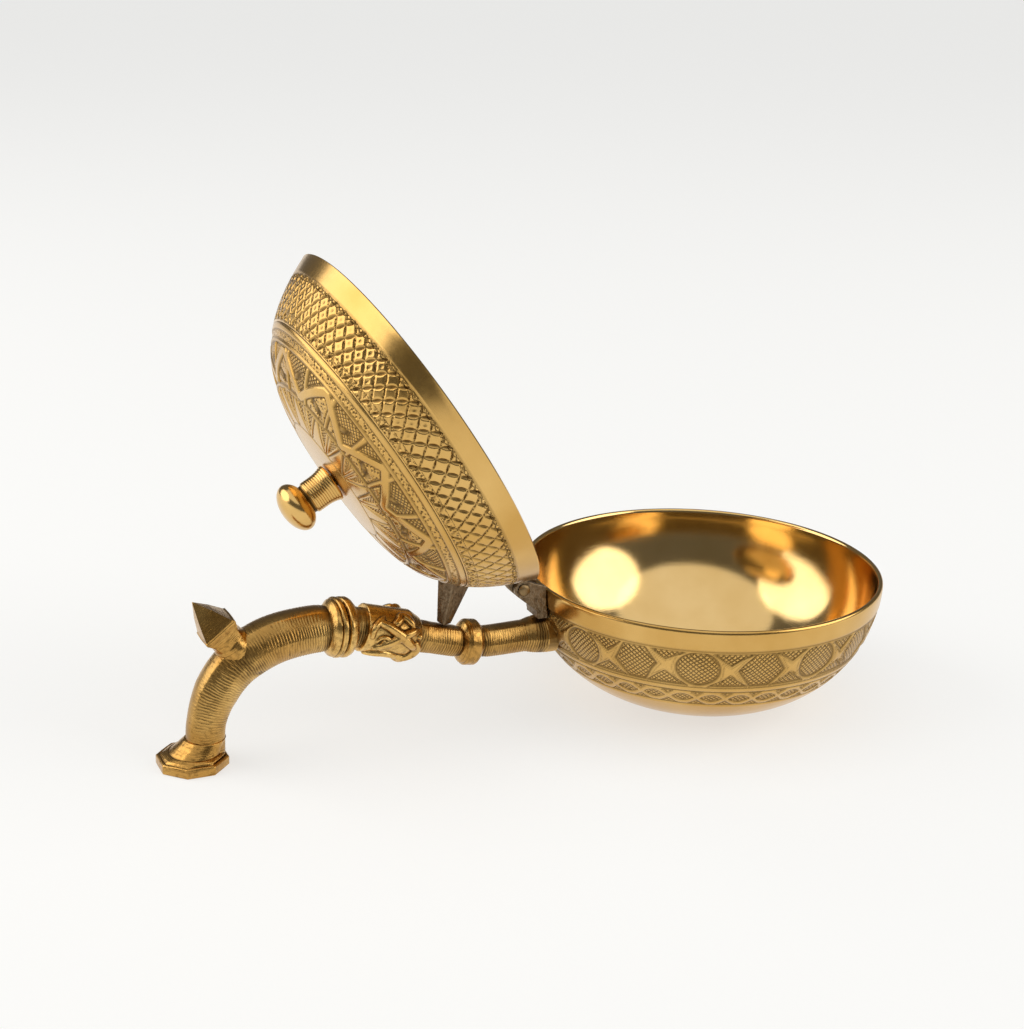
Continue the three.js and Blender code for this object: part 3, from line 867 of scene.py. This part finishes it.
# %% Turn the knob
KNOB_H = 15.2
KNOB_HEAD_R = 6.5
KNOB_HEAD_L = 7.8
KNOB_NECK_R = 4.3
KNOB_GROOVE_R = 3.8
KNOB_BASE_R = 5.0
KNOB_BASE_T = 1.0
KNOB_COVE_L = 3.6
TOOL_RING_PITCH = 0.62
TOOL_RING_DEPTH = 0.07
CROWN = LID_BASE + LID_H


def knob_profile():
    """Flange, cove, groove and head, as (radius, height) from the crown up."""
    half = KNOB_HEAD_L / 2
    start = -math.acos(KNOB_GROOVE_R / KNOB_HEAD_R)
    turn = np.linspace(start, math.pi / 2 - 0.02, 44)
    head = np.column_stack([KNOB_HEAD_R * np.cos(turn), KNOB_H - half + half * np.sin(turn)])
    groove_top = head[0][1]
    up_it = np.linspace(KNOB_BASE_T, groove_top - 1.0, 90)
    share = np.clip((up_it - KNOB_BASE_T) / KNOB_COVE_L, 0, 1)
    cove = KNOB_NECK_R + (KNOB_BASE_R - KNOB_NECK_R) * (1 - share) ** 2.2
    rings = TOOL_RING_DEPTH * np.maximum(0, np.sin(up_it * 2 * math.pi / TOOL_RING_PITCH)) ** 2
    neck = np.column_stack([cove - rings, up_it])
    flange = [[0.8, 0.3], [KNOB_BASE_R - 0.25, 0.3], [KNOB_BASE_R, 0.5], [KNOB_BASE_R, 0.85]]
    throat = [[KNOB_GROOVE_R + 0.2, groove_top - 0.7], [KNOB_GROOVE_R, groove_top - 0.4]]
    return np.vstack([flange, neck, throat, head])


def hollow_share(piece, gain, spread):
    """Writes the patina attribute from how hollow the metal is at each point."""
    mesh = piece.data
    count = len(mesh.vertices)
    place = np.empty(count * 3, np.float32)
    mesh.vertices.foreach_get("co", place)
    place = place.reshape(-1, 3)
    normal = np.empty(count * 3, np.float32)
    mesh.vertices.foreach_get("normal", normal)
    normal = normal.reshape(-1, 3)
    pairs = np.empty(len(mesh.edges) * 2, np.int64)
    mesh.edges.foreach_get("vertices", pairs)
    a, b = pairs.reshape(-1, 2).T
    met = np.maximum(np.bincount(a, minlength=count) + np.bincount(b, minlength=count), 1)

    def of_neighbours(values):
        """The mean of a value over the points that an edge joins to each point."""
        total = np.zeros_like(values)
        np.add.at(total, a, values[b])
        np.add.at(total, b, values[a])
        return total / (met[:, None] if values.ndim > 1 else met)

    toward = of_neighbours(place) - place
    length = np.zeros(count)
    span = np.linalg.norm(place[a] - place[b], axis=1)
    np.add.at(length, a, span)
    np.add.at(length, b, span)
    hollow = (toward * normal).sum(1) / np.maximum(length / met, 1e-9)
    for _ in range(spread):
        hollow = 0.5 * hollow + 0.5 * of_neighbours(hollow)
    value = np.clip(hollow * gain, 0, 1)
    write_values(mesh, "patina_and_shade", value)
    write_values(mesh, "ground", np.zeros(count))
    print(piece.name, "hollows:", round(float((value > 0.3).mean()), 3), "of its points")


def dress(piece, metal, body, node, gain=7.0, spread=2):
    """Darkens a piece's hollows, gives it its metal, hangs it on its body and hides the measured
    part.
    """
    hollow_share(piece, gain, spread)
    piece.data.materials.clear()
    piece.data.materials.append(metal)
    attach(piece, body)
    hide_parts(node)


profile = knob_profile()
knob = skin("knob_turned", opened(spun_rings(profile + [0, CROWN], 120)), along(profile))
dress(knob, turned_brass, "lid", "knob", gain=9.0)


# %% The screw inside the lid
SCREW_HEAD_R = 3.0
SCREW_HEAD_T = 1.6
SLOT_W = 0.8
SLOT_DEPTH = 0.7
SCREW_R = 1.5
SCREW_L = 6.0


def screw_skin():
    """A domed head under the lid with a slot across it, and a shank up into the knob."""
    top = -SHEET - SEAT_GAP
    turn = np.linspace(0.12, math.pi / 2, 14)
    head = np.column_stack([SCREW_HEAD_R * np.sin(turn), top - SCREW_HEAD_T * np.cos(turn)])
    under = [[SCREW_HEAD_R, top - 0.1], [SCREW_HEAD_R - 0.1, top]]
    shank = [[SCREW_R, top], [SCREW_R, SCREW_L - 0.4], [SCREW_R - 0.4, SCREW_L]]
    profile = np.vstack([head, under, shank])
    rings = spun_rings(profile, 72)
    low = rings[..., 2] < top - 0.2
    in_slot = np.abs(rings[..., 1]) < SLOT_W / 2
    slot_floor = np.maximum(rings[..., 2], top - SCREW_HEAD_T + SLOT_DEPTH)
    rings[..., 2] = np.where(low & in_slot, slot_floor, rings[..., 2])
    return skin("screw_slotted", opened(rings + [0, 0, CROWN]), along(profile))


dress(screw_skin(), turned_brass, "lid", "knob_screw", gain=6.0)

# %% [markdown]
# ## The handle
#
# One casting: a neck with a small collar, a carved knot, a large collar, the arm, the bend with its
# pointed bud, the leg and the foot. It was filed across by hand, which left fine ribs all along it.
# The rod is swept along the same middle line as the measured handle, and its ribs are cut by a node
# tree. The carved parts are joined and skinned over together, as casting softens them.

# %% The handle's middle line
ROOT_DROP = 13.9  # below the bowl's rim
ARM_RISE = 9.8  # above the root
ROOT_Z = BOWL_H - ROOT_DROP
ARM_Z = ROOT_Z + ARM_RISE
LEG_OUT = 93.0  # distances outside the rim
SMALL_COLLAR_OUT = 20.8
NECK_OUT = 32
KNOT_OUT = 43.8
LARGE_COLLAR_OUT = 57.4
BEND_OUT = LEG_OUT - 8.4
BEND_START_OUT = LEG_OUT - 16.0
BEND_END_OUT = LEG_OUT - 3
LEG_TOP_OUT = LEG_OUT - 0.4
KNOT_DROP = 3  # below the arm
BEND_START_DROP = 1.9
BEND_DROP = 6.4
BEND_END_DROP = 13.4
LEG_TOP_DROP = 21
FOOT_EDGE_T = 2.6


def handle_point(out, z):
    """A point in the handle's plane, so far outside the bowl's rim and so high."""
    return np.array([-(BOWL_R + out), 0.0, z])


MIDDLE_POINTS = np.array([
    handle_point(-4, ROOT_Z),
    handle_point(5, ROOT_Z),
    handle_point(SMALL_COLLAR_OUT, ROOT_Z + 0.4),
    handle_point(NECK_OUT, ROOT_Z + 3.2),
    handle_point(KNOT_OUT, ARM_Z - KNOT_DROP),
    handle_point(LARGE_COLLAR_OUT, ARM_Z - 0.2),
    handle_point((LARGE_COLLAR_OUT + BEND_START_OUT) / 2, ARM_Z),
    handle_point(BEND_START_OUT, ARM_Z - BEND_START_DROP),
    handle_point(BEND_OUT, ARM_Z - BEND_DROP),
    handle_point(BEND_END_OUT, ARM_Z - BEND_END_DROP),
    handle_point(LEG_TOP_OUT, ARM_Z - LEG_TOP_DROP),
    handle_point(LEG_OUT, FOOT_EDGE_T),
])


def smooth_line(points, spacing):
    """A curve through points, at even spacing: its places, directions and distances."""
    knots = along(points)
    slope = np.gradient(points, knots, axis=0)
    dense = np.linspace(0, knots[-1], 4000)
    seat = np.clip(np.searchsorted(knots, dense, side="right") - 1, 0, len(knots) - 2)
    gap = (knots[seat + 1] - knots[seat])[:, None]
    t = (dense - knots[seat])[:, None] / gap
    curve = (
        (2 * t**3 - 3 * t**2 + 1) * points[seat]
        + (t**3 - 2 * t**2 + t) * gap * slope[seat]
        + (-2 * t**3 + 3 * t**2) * points[seat + 1]
        + (t**3 - t**2) * gap * slope[seat + 1]
    )
    at = along(curve)
    where = np.arange(0, at[-1], spacing)
    even = np.column_stack([np.interp(where, at, curve[:, k]) for k in range(3)])
    heading = np.gradient(even, axis=0)
    heading /= np.linalg.norm(heading, axis=1)[:, None]
    return even, heading, where


ROD_ROW = 0.17  # rows of points along the rod, in mm
middle, heading, distance = smooth_line(MIDDLE_POINTS, ROD_ROW)
out_of_rim = -middle[:, 0] - BOWL_R
print(f"handle is {distance[-1]:.0f} mm along its middle")


def at_out(out):
    """Where the middle line is, and where it heads, so far outside the rim."""
    spot = int(np.argmax(out_of_rim >= out))
    return middle[spot], heading[spot], distance[spot]


# %% Sweep the rod
ROD_R = [  # (distance outside the rim, radius)
    (-4, 5.4), (1, 5.4), (5, 4.4), (NECK_OUT, 4.3),
    (61.2, 6.2), (80.8, 6.5), (90, 5.8), (92.6, 5.1),
]
INTO_WALL = 0.7  # how far the root is let into the bowl's wall, for the braze


def facet(turn, count, share):
    """How far a rounded many-sided bar is from its axis, as a share of its radius."""
    half = math.pi / count
    flat = math.cos(half) / np.cos((turn + half) % (2 * half) - half)
    return 1 - share + share * flat


def rod_skin(sides=88):
    """The rod: six soft flats, rounder down the leg, and an end that follows the bowl's wall."""
    knots = np.array(ROD_R)
    leg = distance >= at_out(LEG_TOP_OUT)[2]
    radius = np.where(leg, knots[-1, 1], np.interp(out_of_rim, knots[:, 0], knots[:, 1]))
    turn = np.arange(sides) * (2 * math.pi / sides)
    across = np.column_stack([-heading[:, 2], np.zeros(len(heading)), heading[:, 0]])
    low_leg = np.clip((distance - distance[-1] + 22) / 10, 0, 1)[:, None]
    shape = facet(turn, 6, 0.42)[None, :] * (1 - low_leg) + facet(turn, 6, 0.2)[None, :] * low_leg
    reach = radius[:, None] * shape
    rings = (
        middle[:, None, :]
        + reach[..., None] * np.cos(turn)[None, :, None] * across[:, None, :]
        - reach[..., None] * np.sin(turn)[None, :, None] * np.array([0.0, 1.0, 0.0])
    )
    wall = bowl_side(0)
    wall_r = np.interp(rings[..., 2], wall[:, 1], wall[:, 0])
    nearest = -np.sqrt(np.maximum(wall_r**2 - rings[..., 1] ** 2, 1)) + INTO_WALL
    rings[..., 0] = np.minimum(rings[..., 0], nearest)
    kept = (distance >= at_out(-1.2)[2]) | (np.arange(len(distance)) == 0)
    return skin("handle_rod", rings[kept], distance[kept])


COLLAR_EDGES = (0.8, 17.8, 23.8, 35.8, 52.0, 53.6, 61.2)  # where dirt stays, outside the rim


def file_rule(start, turn, climb, size):
    """Fine ribs across the rod, strongest on its sides, with a wandering pitch, and a painted shade
    over its top.
    """
    drift = wander(start, 130.0, 1.3) + wander(start, 700.0, 0.4)
    ribs = ((climb / size["Rib pitch"] + drift) * (2 * math.pi)).sine() * 0.5 + 0.5
    side = abs((turn * (2 * math.pi)).sine())
    top = abs((turn - 0.5) * 3.6).clamped()
    patchy = (wander(start, 160.0, 0.9) + 0.75).clamped()
    share = ((side * 0.65 + 0.35) * (top * 0.75 + 0.25) * patchy).clamped()
    neck = between(climb, 4.0, at_out(35)[2], 3.0)
    crotch = at_out(BEND_OUT - 1.5)[2]
    rough = groove(abs(climb - crotch), 6.0) * (wander(start, 420.0, 1.0) + 0.35).clamped()
    for place in COLLAR_EDGES:
        seam = groove(abs(climb - at_out(place)[2]), 1.9)
        rough = rough.at_least(seam * (wander(start, 300.0, 0.8) + 0.75).clamped())
    depth = ribs * share * size["Rib depth"] * (1.0 - neck * 0.35) + rough * 0.3
    # painted shade: the top of the rod is darkened in patches
    shaded_top = (1.0 - top) * patchy * 0.5
    return depth, (ribs * share * 0.9 + rough * 0.95).at_least(shaded_top), ribs * 0.0


ribbing = {"Rib pitch": 0.7, "Rib depth": 0.2}
rod = engrave(rod_skin(), file_rule, ribbing, cast_brass, cast_brass)
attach(rod, "lamp")
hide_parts("handle")


# %% [markdown]
# ### Collars, bud and foot
#
# These are turned or faceted forms on the rod. A grid of points with a rule for its radius gives
# each one its own grooves and flats.

# %% Place a turned part on the handle
def aimed(points, origin, direction):
    """Points about Z, turned to a direction and moved to an origin."""
    turn = Vector((0, 0, 1)).rotation_difference(Vector(direction)).to_matrix()
    return np.asarray(points, float) @ np.array(turn).T + np.asarray(origin, float)


TURNED_ROW = 0.22  # rows of points, in mm


def turned_part(name, profile, origin, direction, reshape=None, sides=120):
    """profile is (radius, height) pairs. reshape changes the radius by turn and height."""
    profile, at = spaced(profile, TURNED_ROW)
    rings = spun_rings(profile, sides)
    if reshape:
        turn = np.arctan2(rings[..., 1], rings[..., 0])
        share = reshape(turn, rings[..., 2], np.hypot(rings[..., 0], rings[..., 1]))
        rings[..., :2] *= share[..., None]
    return skin(name, aimed(rings, origin, direction), at)


def both_ends(end):
    """A whole profile, from the upper half of one that is the same at both ends."""
    return [(r, -height) for r, height in end] + end[::-1]


def collar(name, out, r, length, rod_r, cuts):
    """A rounded collar. cuts are (place along it, lean, half width, depth) of grooves round it."""
    half = length / 2
    profile = both_ends([
        (0.4, half), (rod_r - 0.3, half), (rod_r + 0.3, half * 0.92), (r * 0.93, half * 0.7),
        (r, half * 0.42),
    ])

    def reshape(turn, height, radius):
        """The share of the radius that the grooves leave."""
        loss = np.zeros_like(radius)
        for place, lean, half_width, depth in cuts:
            cut = np.clip(1 - np.abs(height - place - lean * np.sin(turn)) / half_width, 0, 1)
            loss = np.maximum(loss, cut * depth)
        outer = np.clip((radius - rod_r) / 1.0, 0, 1)
        return 1 - loss * outer / np.maximum(radius, 0.5)

    origin, direction, _ = at_out(out)
    piece = turned_part(name, profile, origin, direction, reshape)
    dress(piece, cast_brass, "lamp", "handle")


collar(
    "collar_small", SMALL_COLLAR_OUT, 6.2, 6.0, 4.3,
    [(-1.9, 0.3, 0.5, 0.35), (1.9, 0.2, 0.4, 0.25)],
)
collar(
    "collar_large", LARGE_COLLAR_OUT, 7.9, 7.6, 6.0,
    [(0.2, 0.8, 0.55, 1.0), (1.9, 0.6, 0.4, 0.6), (-3.0, 0.3, 0.5, 0.4)],
)


# %% The bud on the bend
BEND_R = 6.5
BUD_R = 6.6
BUD_NECK_R = 4.6
BUD_POINT_L = 9.4
BUD_BAND_L = 5.8
BUD_LEAN = math.radians(38.5)
BUD_ROOT_IN = 2.4
BUD_ROOT_UP = 1.0


def square_bar(turn, height, radius):
    """Round where it leaves the bend, and square beyond it."""
    share = np.clip((height - BEND_R) / 4.0, 0, 1)
    return 1 - share + share * facet(turn, 4, 0.93)


bud_direction = (-math.sin(BUD_LEAN), 0.0, math.cos(BUD_LEAN))
bud_origin = handle_point(BEND_OUT - BUD_ROOT_IN, ARM_Z - BEND_DROP + BUD_ROOT_UP)
bud_band = BEND_R + BUD_BAND_L
bud_profile = [
    (0.4, 0), (5.2, 0), (5.0, BEND_R - 1.4), (BUD_NECK_R, BEND_R + 0.6),
    (BUD_NECK_R + 0.5, bud_band - 3.0), (BUD_R - 0.5, bud_band - 1.2),
    (BUD_R, bud_band - 0.4), (BUD_R, bud_band), (BUD_R - 0.5, bud_band + 0.25),
    (BUD_R * 0.52, bud_band + BUD_POINT_L * 0.5), (0.12, bud_band + BUD_POINT_L - 0.1),
]
bud = turned_part("bud", bud_profile, bud_origin, bud_direction, square_bar, sides=160)
dress(bud, cast_brass, "lamp", "handle")


# %% The foot
FOOT_R = 9.3
FOOT_H = 7.0
FOOT_SHIFT = 3.4
foot_profile = [
    (0.4, 0), (FOOT_R - 0.25, 0), (FOOT_R, 0.25), (FOOT_R, FOOT_EDGE_T - 0.3),
    (FOOT_R - 0.35, FOOT_EDGE_T), (8.6, FOOT_EDGE_T + 0.15), (8.3, FOOT_EDGE_T - 0.1),
    (7.9, FOOT_EDGE_T + 0.5), (6.9, FOOT_EDGE_T + 1.1), (6.7, FOOT_EDGE_T + 0.95),
    (6.0, FOOT_EDGE_T + 2.3), (5.5, FOOT_H - 0.8), (5.2, FOOT_H), (0.4, FOOT_H),
]


def eight_sided(turn, height, radius):
    """Eight flats round the sole, gone by the shoulder."""
    share = np.clip((FOOT_EDGE_T + 1.2 - height) / 1.4, 0, 1)
    return share * facet(turn, 8, 0.95) + (1 - share)


foot = turned_part(
    "foot", foot_profile, handle_point(LEG_OUT + FOOT_SHIFT, 0), (0, 0, 1), eight_sided, sides=160
)
for vertex in foot.data.vertices:  # lean the shoulder over to meet the leg
    share = min(max((vertex.co.z / MM - FOOT_EDGE_T) / (FOOT_H - FOOT_EDGE_T), 0.0), 1.0)
    vertex.co.x += share * FOOT_SHIFT * MM
dress(foot, cast_brass, "lamp", "handle")


# %% [markdown]
# ### The carved knot
#
# A barrel wrapped by crossing cords, with a hollow eye on each side and lobes under it. The parts
# are laid over each other and given one new skin, as wax is worked before it is cast.

# %% Join and reskin
def tube(points, radius, sides=14):
    """Rings of a round cord through points, thinner at its ends."""
    places, direction, at = smooth_line(np.array(points, float), 0.3)
    share = np.sin(np.clip(at / at[-1], 0.0, 1.0) * math.pi) ** 0.35
    rings = []
    for place, ahead, thin in zip(places, direction, share):
        ahead = Vector(ahead)
        side = ahead.cross(Vector((0.13, 0.21, 0.97))).normalized()
        other = side.cross(ahead)
        turn = np.arange(sides) * (2 * math.pi / sides)
        reach = float(radius * max(thin, 0.25))
        ring = [Vector(place) + reach * (math.cos(t) * side - math.sin(t) * other) for t in turn]
        rings.append([tuple(v) for v in ring])
    return np.array(rings), at


def ball(middle_at, radii, rows=14, sides=20):
    """Rings of a ball or a lobe."""
    rise = np.linspace(-math.pi / 2 + 0.12, math.pi / 2 - 0.12, rows)
    rings = spun_rings(np.column_stack([np.cos(rise), np.sin(rise)]), sides)
    return rings * np.array(radii) + np.array(middle_at), np.arange(rows)


def joined(name, parts):
    """One object from several (rings, distances) parts."""
    made = [skin(f"{name}_{i}", rings, at) for i, (rings, at) in enumerate(parts)]
    build = bmesh.new()
    for part in made:
        build.from_mesh(part.data)
        bpy.data.objects.remove(part)
    mesh = bpy.data.meshes.new(name)
    build.to_mesh(mesh)
    build.free()
    return placed(name, mesh)


def reskinned(piece, voxel, soften):
    """One new skin over everything in a piece, then softened."""
    cover = piece.modifiers.new("reskin", "REMESH")
    cover.mode = "VOXEL"
    cover.voxel_size = voxel * MM
    cover.use_smooth_shade = True
    ease = piece.modifiers.new("soften", "SMOOTH")
    ease.factor = 0.5
    ease.iterations = soften
    settle(piece)
    print(piece.name, "reskinned,", len(piece.data.polygons), "faces")
    return piece


# %% Carve the knot
KNOT_L = 16.0
BARREL_R = 6.5
BARREL_END_R = 4.6
knot_middle, knot_heading, _ = at_out(KNOT_OUT)


def on_knot(along_it, turn_degrees, lift=0.0):
    """A point on the barrel: so far along it towards the foot, so far round from the top."""
    turn = math.radians(turn_degrees)
    reach = np.interp(along_it, [-8, -5, 8], [BARREL_END_R, BARREL_R, BARREL_R]) + lift
    local = np.array([[-reach * math.cos(turn), reach * math.sin(turn), along_it]])
    return aimed(local, knot_middle, knot_heading)[0]


def knot_parts():
    """The barrel, and on each side of it seven cords, a hollow eye and three beads."""
    half = KNOT_L / 2
    barrel, at = spaced([(0.4, -half), (4.5, -half), (6.2, -4.6), (6.3, half), (0.4, half)], 0.5)
    parts = [(aimed(spun_rings(barrel, 48), knot_middle, knot_heading), at)]
    for side in (-1, 1):
        cords = [  # each is (along, degrees from the top) points, and a radius
            ([(5.6, 56), (2.4, 74), (-1.0, 94), (-4.0, 110), (-6.6, 124)], 1.25),
            ([(6.2, 126), (2.6, 116), (-1.0, 100), (-4.4, 80), (-6.6, 58)], 1.35),
            ([(-1.8, 34), (-4.4, 24), (-6.8, 36), (-7.2, 60), (-5.8, 86)], 1.4),
            ([(1.6, 118), (-0.4, 136), (-0.6, 156)], 1.1),
            ([(-4.6, 122), (-2.8, 140), (-0.6, 156)], 1.1),
            ([(6.8, 20), (4.4, 34), (1.6, 40), (-1.4, 34), (-4.0, 16)], 1.0),
            ([(6.6, 84), (6.9, 102), (5.6, 122), (3.6, 142)], 0.9),
        ]
        eye = [(3.2 + 1.9 * math.cos(t), 74 + 17 * math.sin(t)) for t in np.linspace(0, 6.1, 12)]
        cords.append((eye, 0.62))
        for path, radius in cords:
            parts.append(tube([on_knot(a, side * t) for a, t in path], radius))
        beads = [((3.1, 78), -0.1, 0.75), ((3.4, 66), 0.0, 0.45), ((-7.0, 100), -0.1, 0.8)]
        for (along_it, turn), lift, r in beads:
            parts.append(ball(on_knot(along_it, side * turn, lift), (r, r, r)))
    belly = handle_point(KNOT_OUT - 3.2, ARM_Z - KNOT_DROP - 4.8)
    parts.append(ball(belly, (3.6, 3.2, 4.5)))
    parts.append(ball(on_knot(-4.6, 0, -1.6), (2.9, 3.4, 2.6)))
    return parts


RESKIN_VOXEL = 0.2  # mm
knot = reskinned(joined("knot_carved", knot_parts()), RESKIN_VOXEL, 2)
dress(knot, cast_brass, "lamp", "handle", gain=11.0, spread=3)

# %% [markdown]
# ## Hinge and stop
#
# Rough sand castings that were never filed. The measured shapes are right, so each is copied,
# given a new skin, and roughened where the sand left lumps.

# %% Rough castings from the measured shapes
LUMP_DEPTH = 0.09  # mm
MERGE_DISTANCE = 0.01


def sand_cast(node, name, body):
    """A copy of a measured piece, skinned over and roughened."""
    mesh = frame["nodes"][node].data.copy()
    build = bmesh.new()
    build.from_mesh(mesh)
    bmesh.ops.remove_doubles(build, verts=build.verts, dist=MERGE_DISTANCE * MM)
    build.to_mesh(mesh)
    build.free()
    piece = reskinned(placed(name, mesh), RESKIN_VOXEL, 3)
    for vertex in piece.data.vertices:
        spot = vertex.co / MM
        lump = noise.noise(spot * 0.9) * 0.6 + noise.noise(spot * 2.6) * 0.4
        vertex.co -= vertex.normal * (abs(lump) * LUMP_DEPTH * MM)
    dress(piece, rough_casting, body, node, gain=6.0)


sand_cast("hinge_bracket", "bracket_cast", "lamp")
sand_cast("lid_lug", "lug_cast", "lid")
sand_cast("lid_stop", "stop_cast", "lid")

# %% The hinge pin
PIN_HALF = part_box("hinge_pin")[1].y / MM
PIN_R = 1.0
PIN_HEAD_R = 1.7
PIN_HEAD_T = 0.8
pin_profile = both_ends([
    (0.3, PIN_HALF), (0.9, PIN_HALF - 0.08), (1.45, PIN_HALF - 0.35),
    (PIN_HEAD_R, PIN_HALF - PIN_HEAD_T), (PIN_R, PIN_HALF - PIN_HEAD_T - 0.02),
])
pin = turned_part("pin_peened", pin_profile, HINGE, (0, 1, 0), sides=48)
dress(pin, pin_brass, "lamp", "hinge_pin", gain=6.0)

# %% [markdown]
# ## Floor and light
#
# A pale table that runs far back, a large round soft box behind the lamp on the left, another in
# front on the right, a wide soft light from above, and a dim room. Polished brass is only as good
# as what it mirrors, so the dim gap between the boxes matters as much as the boxes do.

# %% Floor
FLOOR_HALF = 12.0  # metres
TABLE_COLOR = (0.36, 0.36, 0.355, 1.0)
TABLE_GLOW_COLOR = (1.0, 1.0, 0.985, 1.0)
TABLE_GLOW = 0.63
floor_mesh = bpy.data.meshes.new("floor")
corners = [(-1, -1), (1, -1), (1, 1), (-1, 1)]
places = [(x * FLOOR_HALF, y * FLOOR_HALF, 0) for x, y in corners]
floor_mesh.from_pydata(places, [], [(0, 1, 2, 3)])
floor = placed("floor", floor_mesh)
table = bpy.data.materials.new("pale_table")
table.use_nodes = True
table_shader = table.node_tree.nodes["Principled BSDF"]
table_shader.inputs["Base Color"].default_value = TABLE_COLOR
table_shader.inputs["Roughness"].default_value = 0.7
table_shader.inputs["Specular IOR Level"].default_value = 0.2
table_shader.inputs["Emission Color"].default_value = TABLE_GLOW_COLOR
table_shader.inputs["Emission Strength"].default_value = TABLE_GLOW
floor_mesh.materials.append(table)

# %% Lights
LAMP_MIDDLE = (-0.03, 0.0, 0.04)
BOX_WIDTH = 1.4
BOX_HEIGHT = 1.15
BOX_COLOR = (1.0, 0.98, 0.95)
CEILING_ENERGY = 1.15
CEILING_SPREAD = math.radians(86)
ROOM_COLOR = (1.0, 0.99, 0.97, 1.0)
ROOM_GLOW = 0.13


def soft_box(name, place, watts):
    """A round light that faces the lamp."""
    box = placed(name, bpy.data.lights.new(name, "AREA"))
    box.data.shape = "ELLIPSE"
    box.data.size = BOX_WIDTH
    box.data.size_y = BOX_HEIGHT
    box.data.energy = watts
    box.data.color = BOX_COLOR
    box.location = place
    box.rotation_euler = facing(Vector(LAMP_MIDDLE) - Vector(place))


soft_box("box_left", (-1.0, 0.4, 0.55), 8.5)
soft_box("box_right", (0.95, -0.66, 0.68), 9.5)
ceiling = placed("ceiling", bpy.data.lights.new("ceiling", "SUN"))
ceiling.data.energy = CEILING_ENERGY
ceiling.data.angle = CEILING_SPREAD
ceiling.rotation_euler = facing((0.07, 0.22, -1.0))
room = bpy.data.worlds.new("room")
room.use_nodes = True
room_shade = room.node_tree.nodes["Background"]
room_shade.inputs["Color"].default_value = ROOM_COLOR
room_shade.inputs["Strength"].default_value = ROOM_GLOW
bpy.context.scene.world = room
bpy.context.scene.view_settings.view_transform = "Standard"
